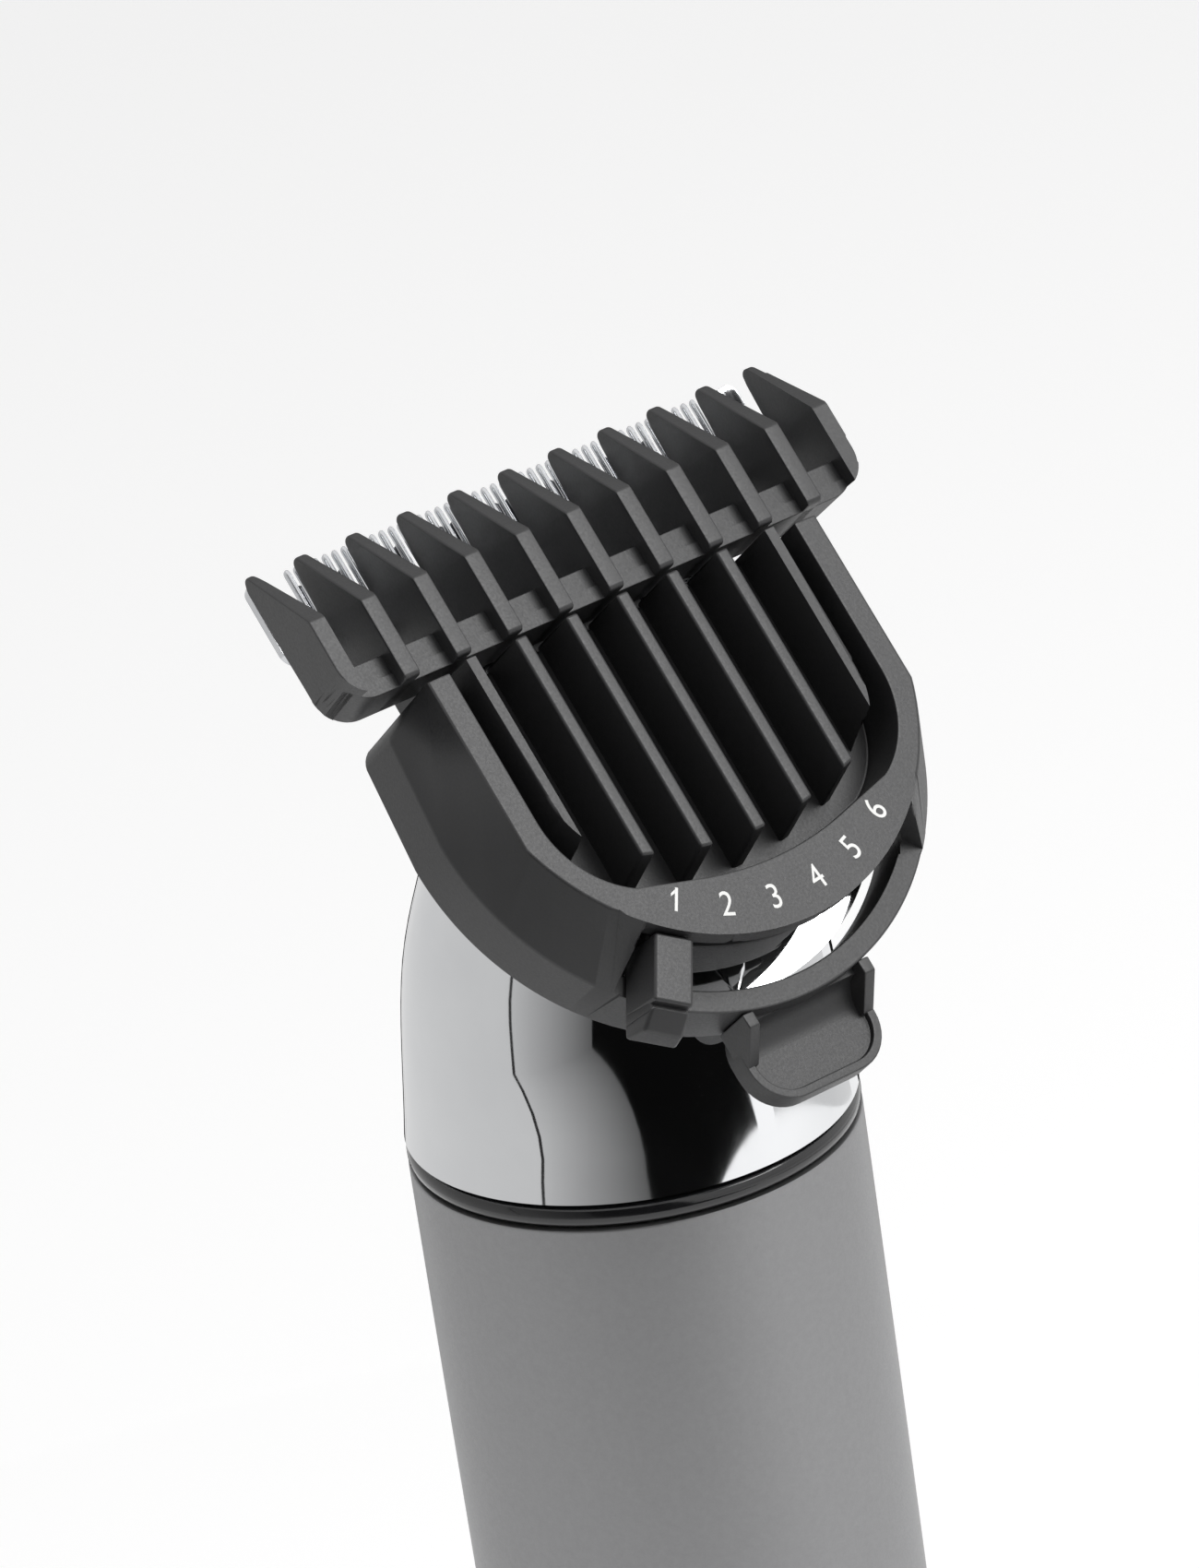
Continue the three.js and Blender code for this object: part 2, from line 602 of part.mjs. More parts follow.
/** Tooth tips from one side to the other: flat sided, with round ends. */
function teeth(count, pitch, width, root, tip) {
  const half = width / 2;
  return Array.from({ length: count }, (_, i) => (i - (count - 1) / 2) * pitch)
    .reverse()
    .flatMap((x) => [point(x + half, root), point(x + half * 0.9, tip - half),
      point(x, tip), point(x - half * 0.9, tip - half), point(x - half, root)]);
}

function fixedBlade() {
  const fine = 2 * Math.floor((BLADE_HALF - 1.9) / TOOTH_PITCH) - 1;
  const end = 1.6;
  const outline = [
    point(BLADE_HALF, BLADE_BACK + 1), point(BLADE_HALF, BLADE_TIP - 0.8),
    point(BLADE_HALF - 0.5, BLADE_TIP), point(BLADE_HALF - end + 0.3, BLADE_TIP),
    point(BLADE_HALF - end, BLADE_ROOT),
    ...teeth(fine, TOOTH_PITCH, 0.42, BLADE_ROOT, BLADE_TIP),
    point(-BLADE_HALF + end, BLADE_ROOT), point(-BLADE_HALF + end - 0.3, BLADE_TIP),
    point(-BLADE_HALF + 0.5, BLADE_TIP), point(-BLADE_HALF, BLADE_TIP - 0.8),
    point(-BLADE_HALF, BLADE_BACK + 1), point(-BLADE_HALF + 1, BLADE_BACK),
    point(-BLADE_WAIST, BLADE_BACK), point(-BLADE_WAIST, BLADE_LOW),
    point(BLADE_WAIST, BLADE_LOW), point(BLADE_WAIST, BLADE_BACK), point(BLADE_HALF - 1, BLADE_BACK),
  ];
  const holes = [-SCREW_X, SCREW_X].map((x) => arc(x, SCREW_Y, 1, 0, 330, 11));
  return slab(outline, BLADE_TOP - BLADE_THICK, BLADE_TOP, holes);
}

function movingCutter() {
  const count = 2 * Math.floor((CUTTER_HALF - 1) / CUTTER_PITCH) + 1;
  const outline = [
    point(CUTTER_HALF, CUTTER_ROOT - 1.5), ...teeth(count, CUTTER_PITCH, 0.6, CUTTER_ROOT, CUTTER_TIP),
    point(-CUTTER_HALF, CUTTER_ROOT - 1.5), point(-8, CUTTER_BACK), point(8, CUTTER_BACK),
  ];
  return slab(outline, CUTTER_TOP - CUTTER_THICK, CUTTER_TOP);
}

function cutterDriver() {
  const top = CUTTER_TOP - CUTTER_THICK - GAP;
  const play = ARM_POST_RADIUS + 0.06;
  return slab([point(-4, 6.3), point(4, 6.3), point(4, 10.9), point(-4, 10.9)], top - 1.8, top,
    [[point(-play, 6.8), point(play, 6.8), point(play, 9.2), point(-play, 9.2)]]);
}

/** Bent wire that presses the cutter up against the fixed blade. */
function cutterSpring() {
  const line = [[-9.5, -10.4], [-9.2, -9], [-8, -8.4], [0, -8.3], [8, -8.4], [9.2, -9], [9.5, -10.4]];
  const path = new THREE.CatmullRomCurve3(
    line.map(([x, z]) => new THREE.Vector3(x, SEAT_HIGH + 0.8, z)));
  const wire = new THREE.Shape(arc(0, 0, 0.35, 0, 315, 7));
  return new THREE.ExtrudeGeometry(wire, { steps: 16, extrudePath: path, bevelEnabled: false });
}

place('drive_arm', driveArm(), finishes.whitePlastic, head);
place('arm_pivot_pin', pivotPin(), finishes.steel, head);
place('blade_carrier', bladeCarrier(), finishes.blackPlastic, head);
place('fixed_blade', fixedBlade(), finishes.steel, head);
place('moving_cutter', movingCutter(), finishes.steel, head);
place('cutter_driver', cutterDriver(), finishes.whitePlastic, head);
place('cutter_spring', cutterSpring(), finishes.steel, head);
for (const [side, name] of [[-1, 'left'], [1, 'right']]) {
  const mesh = place(`blade_screw_${name}`, screw(1.4, 0.55, 0.7, 3.2), finishes.steel, head);
  mesh.position.set(side * SCREW_X, SCREW_Y, BLADE_TOP + 0.1);
}

// ---- Guard --------------------------------------------------------------

/** Outline of the number plate, moved inwards by inset. */
function plateOutline(inset = 0, steps = 20) {
  const radius = PLATE_RADIUS - inset;
  const half = PLATE_HALF - inset;
  const side = THREE.MathUtils.radToDeg(Math.acos(half / radius));
  return [point(half, PLATE_TOP - inset), ...arc(0, 0, radius, -side, -180 + side, steps),
    point(-half, PLATE_TOP - inset)];
}

/** Height of the recess' lower wall, or of a line above it by rise. */
const recessEdge = (x, rise = 0) =>
  RECESS_LOW + rise + RECESS_ARC - Math.sqrt(RECESS_ARC ** 2 - x ** 2);

function recessOutline(outset = 0, steps = 12) {
  const half = RECESS_HALF + outset;
  const bend = RECESS_HALF - RECESS_CORNER;
  const low = Array.from({ length: steps + 1 }, (_, i) => bend - (2 * bend * i) / steps);
  const corner = recessEdge(bend) + RECESS_CORNER;
  return [point(half, PLATE_TOP + 1), ...arc(bend, corner, RECESS_CORNER + outset, 0, -62, 5),
    ...low.slice(1, -1).map((x) => point(x, recessEdge(x) - outset)),
    ...arc(-bend, corner, RECESS_CORNER + outset, 242, 180, 5), point(-half, PLATE_TOP + 1)];
}

/** A sector of a ring about the dial's centre; angles from straight down. */
function sector(inner, outer, from, to, low, high, steps = 16) {
  const outline = [...arc(0, 0, outer, from - 90, to - 90, steps),
    ...arc(0, 0, inner, to - 90, from - 90, steps)];
  return slab(outline, low, high);
}

function thumbTab() {
  const low = TAB_TOP - TAB_THICK;
  const corner = 2.6;
  const start = 18.4;
  const outline = (half, reach) => [point(-half, -start), ...arc(-half + corner, -reach + corner,
    corner, 180, 270, 6), ...arc(half - corner, -reach + corner, corner, 270, 360, 6),
  point(half, -start)];
  const plate = slab(outline(TAB_HALF, TAB_REACH), low, TAB_TOP);
  const lip = slab(outline(TAB_HALF, TAB_REACH), TAB_TOP - 0.2, TAB_TOP + 0.5);
  const dish = slab(outline(TAB_HALF - 0.7, TAB_REACH - 0.7),
    TAB_TOP, TAB_TOP + 2);
  return join(plate, cut(lip, dish));
}

function guardBase() {
  const outside = skin([plateOutline(), 0], [rimOutline(), -SLOPE_DROP], [rimOutline(), -RIM_DEPTH]);
  const under = -PLATE_THICK;
  const inside = skin([plateOutline(RIM_WALL * 0.5), under],
    [rimOutline(RIM_WALL), -SLOPE_DROP], [rimOutline(RIM_WALL), -RIM_DEPTH - 1]);
  const floor = -RECESS_DEPTH - FLOOR_THICK;
  const tub = common(slab(recessOutline(TUB_WALL), floor, -0.2),
    block([-30, 30], [-30, PLATE_TOP], [-30, 30]));
  const recess = slab(recessOutline(), -RECESS_DEPTH, 5);
  const ribs = Array.from({ length: RIB_COUNT }, (_, i) => {
    const x = (i - (RIB_COUNT - 1) / 2) * FIN_PITCH;
    return block([x - RIB_THICK / 2, x + RIB_THICK / 2],
      [recessEdge(x, RIB_GAP), RIB_TOP], [-RECESS_DEPTH - 0.3, 0]);
  });
  const slot = sector(PLATE_RADIUS, 30, -SLOT_ANGLE, SLOT_ANGLE, -SLOPE_DROP, 5, 20);
  const slotUnder = sector(FENCE_INNER - GAP, 30, -SLOT_ANGLE, SLOT_ANGLE, -SLOPE_DROP, under, 20);
  const tonguePass = block([-TONGUE_HALF - 0.8, TONGUE_HALF + 0.8], [0, 20], [-20, floor - 0.01]);
  const bladePass = block([-BLADE_WAIST - 2 * GAP, BLADE_WAIST + 2 * GAP], [SEAT_LOW - 1, 20],
    [-20, BLADE_TOP + GAP]);
  const boss = cut(rod(BOSS_RADIUS, BOSS_LOW, floor + 0.2, 24), rod(1.1, BOSS_LOW - 1, floor - 0.3, 16));
  const cheeks = [-1, 1].map((side) => block([side * 4.6 - 0.5, side * 4.6 + 0.5],
    [-20.7, -18.9], [TAB_TOP - 0.5, -SLOPE_DROP - 0.3]));
  const hollow = cut(join(cut(outside, inside), tub), recess, slot, slotUnder,
    tonguePass, bladePass);
  return join(hollow, boss, ...ribs, ...cheeks, thumbTab());
}

/** One fin: flat along the top, sloping down to a thin round tip. */
function fin(x) {
  const low = -COMB_DEPTH;
  const thick = [[COMB_REAR, low], [COMB_REAR, -0.3], [COMB_REAR + 0.3, 0], [FIN_KNEE, 0],
    [FIN_KNEE, low]];
  const thin = [[FIN_TIP - 0.8, low], [FIN_TIP - 0.15, low + 0.25], [FIN_TIP, low + 0.7],
    [FIN_TIP - 0.3, low + 1.15]];
  const slice = (points, half) => points.flatMap(([y, z]) =>
    [new THREE.Vector3(x - half, y, z), new THREE.Vector3(x + half, y, z)]);
  return new ConvexGeometry([...slice(thick, FIN_THICK / 2), ...slice(thin, FIN_TIP_THICK / 2)]);
}

function combSlider() {
  const half = ((FIN_COUNT - 1) / 2) * FIN_PITCH + FIN_THICK / 2;
  const fins = Array.from({ length: FIN_COUNT },
    (_, i) => fin((i - (FIN_COUNT - 1) / 2) * FIN_PITCH));
  const bar = block([-half, half], [COMB_REAR, COMB_REAR + BAR_DEPTH], [-COMB_DEPTH, -BAR_DROP]);
  const plan = (edge) => [
    ...arc(-edge + COMB_CORNER, COMB_REAR + COMB_CORNER, COMB_CORNER, 180, 270, 5),
    ...arc(edge - COMB_CORNER, COMB_REAR + COMB_CORNER, COMB_CORNER, 270, 360, 5),
    point(edge, FIN_TIP + 1), point(-edge, FIN_TIP + 1)];
  const outside = skin([plan(half), 0.5], [plan(half), -0.5], [plan(half - COMB_DRAFT), -COMB_DEPTH - 0.5]);
  const tongueTop = -RECESS_DEPTH - FLOOR_THICK - GAP;
  const tongueLow = tongueTop - TONGUE_THICK;
  const step = block([-TONGUE_HALF, TONGUE_HALF], [COMB_REAR + 0.2, COMB_REAR + BAR_DEPTH - 0.2],
    [tongueLow, -COMB_DEPTH + 0.3]);
  const slotHalf = BOSS_RADIUS + GAP;
  const tongue = slab([point(-TONGUE_HALF, COMB_REAR + 1), point(-TONGUE_HALF, -10),
    point(-TONGUE_HALF + 2.2, -11.8), point(TONGUE_HALF - 2.2, -11.8),
    point(TONGUE_HALF, -10), point(TONGUE_HALF, COMB_REAR + 1)], tongueLow, tongueTop, [[
    point(-slotHalf, -COMB_TRAVEL - slotHalf), point(slotHalf, -COMB_TRAVEL - slotHalf),
    point(slotHalf, slotHalf), point(-slotHalf, slotHalf)]]);
  const pin = rod(CAM_PIN_RADIUS, DISC_TOP - DISC_THICK + 0.05, tongueTop - 0.1, 20)
    .translate(0, -CAM_START, 0);
  return join(common(join(bar, ...fins), outside), step, tongue, pin);
}

/** Disc with a spiral cam slot, a fence under the plate's edge and the thumb lever. */
function dial() {
  const low = DISC_TOP - DISC_THICK;
  const swing = CAM_PIN_RADIUS + CAM_PLAY;
  const steps = 16;
  const pull = COMB_TRAVEL / rad(DIAL_TURN);
  const camLine = (offset) => Array.from({ length: steps + 1 }, (_, i) => {
    const share = i / steps;
    const angle = rad(-90 - DIAL_TURN * share);
    const middle = CAM_START - COMB_TRAVEL * share;
    const radius = middle + offset * Math.hypot(1, pull / middle);
    return point(radius * Math.cos(angle), radius * Math.sin(angle));
  });
  const capStart = arc(0, -CAM_START, swing, -90, 90, 6).slice(1, -1);
  const lastAngle = -90 - DIAL_TURN;
  const last = camLine(0)[steps];
  const capEnd = arc(last.x, last.y, swing, lastAngle + 180, lastAngle + 360, 6).slice(1, -1);
  const cam = [...capStart, ...camLine(-swing), ...capEnd, ...camLine(swing).reverse()];
  const disc = join(
    rod(HUB_RADIUS, low, DISC_TOP, 32),
    sector(1, DISC_RADIUS, -95, 20, low, DISC_TOP, 20),
    sector(DISC_RADIUS - 1, FENCE_OUTER, -52, 4, low, DISC_TOP, 12),
  );
  const fence = sector(FENCE_INNER, FENCE_OUTER, -38.5, 2, low + 0.2, FENCE_TOP, 12);
  const leverLow = -SLOPE_DROP + GAP;
  const underPlate = -PLATE_THICK - GAP;
  const side = [[FENCE_INNER, leverLow], [FENCE_INNER, underPlate], [PLATE_RADIUS + 0.15, underPlate],
    [PLATE_RADIUS + 0.15, LEVER_TOP], [LEVER_REACH - 1.6, LEVER_TOP], [LEVER_REACH - 1.4, -1.1],
    [LEVER_REACH - 1.1, -1.1], [LEVER_REACH - 0.9, -0.8], [LEVER_REACH - 0.3, -1.2],
    [LEVER_REACH, -2.2], [LEVER_REACH, leverLow + 0.4], [LEVER_REACH - 0.4, leverLow]];
  const lever = slab(side.map(([reach, z]) => point(reach, z)), -LEVER_WIDTH / 2, LEVER_WIDTH / 2)
    .rotateX(Math.PI / 2).rotateZ(rad(DIAL_START - 90));
  const rootTurn = 4.2;
  const root = sector(FENCE_INNER, 17.4, DIAL_START - rootTurn, DIAL_START + rootTurn, low + 0.2,
    leverLow + 0.2, 3);
  const bore = rod(BOSS_RADIUS + 0.07, -20, 20, 24);
  return cut(join(disc, fence, root, lever), slab(cam, low - 1, DISC_TOP + 1), bore);
}

function dialRetainer() {
  return join(rod(3.1, BOSS_LOW - 0.65, BOSS_LOW - 0.15, 24),
    rod(0.8, BOSS_LOW - 0.2, BOSS_LOW + 1.2, 16));
}

place('guard_base', guardBase(), finishes.blackPlastic, head);
place('comb_slider', combSlider(), finishes.blackPlastic, head);
place('dial', dial(), finishes.blackPlastic, head);
place('dial_retainer', dialRetainer(), finishes.steel, head);

export default clipper;
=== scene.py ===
# %% [markdown]
# # A cordless hair clipper
# The clipper stands on its end cap. A satin metal handle carries a chrome head that leans
# forward, and over it clips a black guard with a sliding comb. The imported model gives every
# place and every moving body. This file makes the fine surfaces that the solids leave out.

# %% Load the frame
import json
import math

import bmesh
import bpy
from mathutils import Matrix, Quaternion, Vector
from mathutils.bvhtree import BVHTree
from mathutils.kdtree import KDTree


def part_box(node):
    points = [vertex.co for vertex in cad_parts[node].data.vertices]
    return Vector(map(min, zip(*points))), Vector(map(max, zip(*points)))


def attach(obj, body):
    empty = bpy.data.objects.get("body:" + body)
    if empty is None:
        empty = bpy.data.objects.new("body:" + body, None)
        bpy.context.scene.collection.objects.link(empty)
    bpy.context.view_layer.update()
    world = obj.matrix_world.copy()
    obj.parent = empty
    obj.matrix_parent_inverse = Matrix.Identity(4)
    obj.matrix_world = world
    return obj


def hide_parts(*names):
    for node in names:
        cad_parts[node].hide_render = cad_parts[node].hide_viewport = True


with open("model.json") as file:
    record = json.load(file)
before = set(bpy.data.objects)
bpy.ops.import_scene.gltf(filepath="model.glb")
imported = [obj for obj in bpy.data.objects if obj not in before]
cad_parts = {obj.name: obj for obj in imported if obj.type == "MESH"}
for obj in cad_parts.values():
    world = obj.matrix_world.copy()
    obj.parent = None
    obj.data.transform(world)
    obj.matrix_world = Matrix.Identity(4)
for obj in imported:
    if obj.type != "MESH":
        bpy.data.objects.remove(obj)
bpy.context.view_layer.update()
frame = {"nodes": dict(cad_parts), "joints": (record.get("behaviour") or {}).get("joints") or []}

# %% [markdown]
# ## Two sets of axes
# Handle pieces are built about the body's axis, in millimetres. Pieces of the head are built
# in the head's own axes: x along the blades, y up the head to the comb's tips, z out of the
# number plate, and zero at the dial's centre. The joints of the frame already know these
# directions, so the matrix comes from them. Every finished mesh is then set in its place in metres.

# %% Axes
MM = 0.001
PLATE_OVER_PIVOT = 6.5     # the plate's top face above the dial's joint, in millimetres
joints = {joint["name"]: joint for joint in frame["joints"]}
up_head = Vector(joints["comb_lift"]["axis"])
out_of_plate = Vector(joints["guard_off"]["axis"])
dial_centre = Vector(joints["dial_turn"]["pos_m"]) + PLATE_OVER_PIVOT * MM * out_of_plate
turn = Matrix((up_head.cross(out_of_plate), up_head, out_of_plate)).transposed().to_4x4()
HEAD = Matrix.Translation(dial_centre) @ turn @ Matrix.Scale(MM, 4)
BODY = Matrix.Scale(MM, 4)
COLLAR_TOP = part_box("collar_ring")[1].z / MM
print("dial's centre", [round(value / MM, 2) for value in dial_centre], "collar", round(COLLAR_TOP, 1))

# %% [markdown]
# ## Small tools
# A mesh is made from an outline, a stack of outlines or a turned profile. Where pieces are
# moulded or machined as one, the shapes are joined and cut with the Boolean modifier, and a
# narrow bevel then gives every edge the small radius that a mould or a grinder leaves.

# %% Outlines
def arc(x, y, radius, start, end, steps):
    """Points along an arc, angles in degrees from +x."""
    angles = [math.radians(start + (end - start) * i / steps) for i in range(steps + 1)]
    return [(x + radius * math.cos(a), y + radius * math.sin(a)) for a in angles]


def box_outline(left, right, low, high, round_by=0, steps=6):
    """A rectangle, with round corners if round_by is above 0."""
    if not round_by:
        return [(left, low), (right, low), (right, high), (left, high)]
    corners = [(right - round_by, low + round_by, 270), (right - round_by, high - round_by, 0),
               (left + round_by, high - round_by, 90), (left + round_by, low + round_by, 180)]
    return [p for x, y, a in corners for p in arc(x, y, round_by, a, a + 90, steps)]


# %% Mesh makers
SAME_POINT = 1e-5          # points closer than this are one point


def new_object(name, data):
    made = bpy.data.objects.new(name, data)
    bpy.context.scene.collection.objects.link(made)
    return made


def new_piece(name, form):
    """An object from a bmesh, with its doubles merged and its faces pointing out."""
    bmesh.ops.remove_doubles(form, verts=form.verts, dist=SAME_POINT)
    bmesh.ops.recalc_face_normals(form, faces=form.faces)
    mesh = bpy.data.meshes.new(name)
    form.to_mesh(mesh)
    form.free()
    return new_object(name, mesh)


def loft(name, rings):
    """A closed body through rings of points that match one to one."""
    form = bmesh.new()
    rows = [[form.verts.new(point) for point in ring] for ring in rings]
    for low, high in zip(rows, rows[1:]):
        for i in range(len(low)):
            j = (i + 1) % len(low)
            form.faces.new((low[i], low[j], high[j], high[i]))
    form.faces.new(rows[0])
    form.faces.new(rows[-1])
    return new_piece(name, form)


def prism(name, outline, low, high):
    """A flat outline, thickened from low to high."""
    return loft(name, [layer(outline, low), layer(outline, high)])


def layer(outline, z):
    return [(x, y, z) for x, y in outline]


def hull(name, *clouds):
    """The tight skin over sets of points."""
    form = bmesh.new()
    for cloud in clouds:
        for point in cloud:
            form.verts.new(point)
    bmesh.ops.remove_doubles(form, verts=form.verts, dist=SAME_POINT)
    made = bmesh.ops.convex_hull(form, input=form.verts)
    spare = {v for key in ("geom_interior", "geom_unused") for v in made[key]
             if isinstance(v, bmesh.types.BMVert)}
    bmesh.ops.delete(form, geom=list(spare), context="VERTS")
    return new_piece(name, form)


def turned(name, profile, steps):
    """A closed profile of (radius, height) pairs turned about z."""
    form = bmesh.new()
    spokes = []
    for i in range(steps):
        a = 2 * math.pi * i / steps
        spokes.append([form.verts.new((r * math.cos(a), r * math.sin(a), z)) for r, z in profile])
    for i in range(steps):
        one, two = spokes[i], spokes[(i + 1) % steps]
        for k in range(len(profile)):
            n = (k + 1) % len(profile)
            if profile[k][0] or profile[n][0]:
                form.faces.new((one[k], two[k], two[n], one[n]))
    bmesh.ops.remove_doubles(form, verts=form.verts, dist=SAME_POINT)
    return new_piece(name, form)


def rod(name, radius, low, high, x=0, y=0, steps=48):
    return prism(name, arc(x, y, radius, 0, 360 - 360 / steps, steps - 1), low, high)


def block(name, x, y, z):
    return prism(name, box_outline(x[0], x[1], y[0], y[1]), z[0], z[1])


# %% Joining, cutting and easing edges
SLIVER = 0.03              # points this close are merged before the edges are eased
LEVEL_ANGLE = 0.5          # faces within this many degrees are one flat face
UNDERSIDE = -0.5           # a normal lower than this looks down
ROUND_REACH = 0.8          # a sound round stays this near the sharp shape, in bevel widths
ROUND_CLEAR = 3            # edges this near a spoiled round stay sharp, in bevel widths
FOLDED = -0.3              # a face whose normal turned past this cosine has folded
SPECK = 1e-5               # faces below this area don't show
CREASE_ANGLE, FLAT_AREA = 1, 0.8


def baked(piece):
    """The piece with its modifiers turned into plain mesh."""
    graph = bpy.context.evaluated_depsgraph_get()
    mesh = bpy.data.meshes.new_from_object(piece.evaluated_get(graph), depsgraph=graph)
    piece.modifiers.clear()
    piece.data = mesh
    return piece


def combine(piece, operation, *others):
    """Boolean with each of the others in turn, which are used up."""
    for other in others:
        step = piece.modifiers.new(operation, "BOOLEAN")
        step.operation = operation
        step.solver = "MANIFOLD"
        step.object = other
    baked(piece)
    for other in others:
        bpy.data.objects.remove(other)
    return piece


def sound_bevel(source, width, segments, angle, tries=10):
    """Rounds the sharp edges of a bmesh, apart from the few where the round would fold over."""
    skin = BVHTree.FromBMesh(source)
    spoiled = []
    for _ in range(tries):
        form = source.copy()
        near = KDTree(max(1, len(spoiled)))
        for i, place in enumerate(spoiled):
            near.insert(place, i)
        near.balance()
        sharp = [e for e in form.edges if e.is_manifold and e.calc_face_angle(0) > math.radians(angle)
                 and not (spoiled and any(near.find(v.co)[2] < ROUND_CLEAR * width for v in e.verts))]
        bmesh.ops.bevel(form, geom=sharp, offset=width, offset_type="OFFSET", segments=segments,
                        profile=0.5, affect="EDGES", clamp_overlap=False)
        bad = {v for v in form.verts if skin.find_nearest(v.co)[3] > ROUND_REACH * width}
        for face in form.faces:
            _, normal, _, _ = skin.find_nearest(face.calc_center_median())
            if face.calc_area() > SPECK and face.normal.dot(normal) < FOLDED:
                bad.update(face.verts)
        if not bad:
            break
        spoiled += [v.co.copy() for v in bad]
        spoiled += [e.other_vert(v).co.copy() for v in bad for e in v.link_edges]
    return form


def eased(piece, width, segments=2, angle=32, flats=False):
    """Slivers merged, flat faces made one, then every sharp edge given a small radius."""
    source = bmesh.new()
    source.from_mesh(piece.data)
    bmesh.ops.remove_doubles(source, verts=source.verts, dist=SLIVER)
    limit = math.radians(LEVEL_ANGLE)
    level = [e for e in source.edges if e.is_manifold and e.calc_face_angle(0) < limit
             and all(face.normal.z > UNDERSIDE for face in e.link_faces)]
    bmesh.ops.dissolve_limit(source, angle_limit=limit, verts=[], edges=level)
    rounded = sound_bevel(source, width, segments, angle)
    rounded.to_mesh(piece.data)
    rounded.free()
    source.free()
    return smooth(piece, flats=flats)


def smooth(piece, angle=40, flats=False):
    """Smooth shading that keeps sharp edges sharp and, if asked, creases between large flats."""
    piece.data.shade_smooth()
    piece.data.set_sharp_from_angle(angle=math.radians(angle))
    if flats:
        form = bmesh.new()
        form.from_mesh(piece.data)
        for edge in form.edges:
            bent = edge.calc_face_angle(0) > math.radians(CREASE_ANGLE)
            if bent and min(face.calc_area() for face in edge.link_faces) > FLAT_AREA:
                edge.smooth = False
        form.to_mesh(piece.data)
        form.free()
    weigh = piece.modifiers.new("normals", "WEIGHTED_NORMAL")
    weigh.keep_sharp = True
    return baked(piece)


def merged(name, *pieces):
    """One object from pieces that overlap a little, each with its own clean edges."""
    form = bmesh.new()
    for piece in pieces:
        form.from_mesh(piece.data)
    mesh = bpy.data.meshes.new(name)
    form.to_mesh(mesh)
    form.free()
    for piece in pieces:
        bpy.data.objects.remove(piece)
    return new_object(name, mesh)


def moved(piece, x):
    piece.data.transform(Matrix.Translation((x, 0, 0)))
    return piece


def hand_in(piece, place, body, slot, *nodes, finish=None):
    """Sets the piece in the frame, gives its finish, hangs it on its body and hides the imported pieces it
    stands for.
    """
    piece.data.transform(place)
    piece.data.update()
    piece.data.materials.clear()
    piece.data.materials.append(finishes[finish or slot])
    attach(piece, body)
    if nodes:
        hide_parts(*nodes)
    print(piece.name, len(piece.data.polygons), "faces")


# %% [markdown]
# ## Finishes
# Each finish starts from what the real surface is and how it was made. A grain is a noise
# whose size is given in millimetres and stretched along the way the tool or the melt ran.
# It drives a little roughness and a little bump, never the whole look.

# %% Colours and nodes
def linear(code):
    """An sRGB hex colour as linear RGBA."""
    parts = [int(code[i:i + 2], 16) / 255 for i in (1, 3, 5)]
    bent = [c / 12.92 if c <= 0.04045 else ((c + 0.055) / 1.055) ** 2.4 for c in parts]
    return (*bent, 1)


def add(tree, kind, settings=None, **links):
    """A node with its settings, and its inputs given as values or as sockets to link."""
    node = tree.nodes.new(kind)
    for key, value in (settings or {}).items():
        setattr(node, key, value)
    for key, value in links.items():
        socket = node.inputs[key.replace("_", " ")]
        if isinstance(value, bpy.types.NodeSocket):
            tree.links.new(value, socket)
        else:
            socket.default_value = value
    return node


def new_finish(name, **values):
    """A material whose Principled shader has these values."""
    finish = bpy.data.materials.new(name)
    finish.use_nodes = True
    shader = finish.node_tree.nodes["Principled BSDF"]
    for key, value in values.items():
        shader.inputs[key.replace("_", " ")].default_value = value
    return finish, finish.node_tree, shader


def grain(tree, size, stretch=(1, 1, 1)):
    """Noise with grains of this many millimetres, read on the object's own place."""
    where = add(tree, "ShaderNodeTexCoord")
    scaled = add(tree, "ShaderNodeMapping", Vector=where.outputs["Object"],
                 Scale=tuple(1 / (size * MM * s) for s in stretch))
    return add(tree, "ShaderNodeTexNoise", Vector=scaled.outputs[0], Scale=1.0, Detail=4).outputs[0]


def wear(tree, shader, noise, rough, height):
    """Roughness that wanders between two values, and a bump of this many millimetres."""
    spread = add(tree, "ShaderNodeMapRange", Value=noise, From_Min=0.3, From_Max=0.7,
                 To_Min=rough[0], To_Max=rough[1])
    bump = add(tree, "ShaderNodeBump", Height=noise, Distance=height * MM, Strength=0.6)
    tree.links.new(spread.outputs[0], shader.inputs["Roughness"])
    tree.links.new(bump.outputs[0], shader.inputs["Normal"])


def tone(tree, shader, noise, dark, light):
    """Colour that wanders between two shades."""
    mix = add(tree, "ShaderNodeMix", {"data_type": "RGBA"})
    tree.links.new(noise, mix.inputs["Factor"])
    mix.inputs[6].default_value = linear(dark)
    mix.inputs[7].default_value = linear(light)
    tree.links.new(mix.outputs[2], shader.inputs["Base Color"])


def surface(name, shades, broad, fine, rough, height, **values):
    """A finish whose colour wanders over broad grains, and its roughness and bump over fine ones."""
    finish, tree, shader = new_finish(name, **values)
    tone(tree, shader, grain(tree, *broad), *shades)
    wear(tree, shader, grain(tree, *fine), rough, height)
    return finish


finishes = {}

# %% [markdown]
# ### Moulded ABS, satin black
# The guard, comb and dial are injection moulded ABS from a spark-eroded mould, which leaves an
# even, very fine orange-peel and a soft sheen. The real grain is about 0.05 mm; it is drawn at
# 0.16 mm so that it shows. A second, long noise is the flow of the melt.

# %% Guard plastic
finishes["guard_plastic"] = surface("moulded_abs_satin_black", ("#1f1f20", "#2a2a2b"), (2.5, (1, 1, 3)),
                                    (0.16,), (0.4, 0.5), 0.012, IOR=1.54)

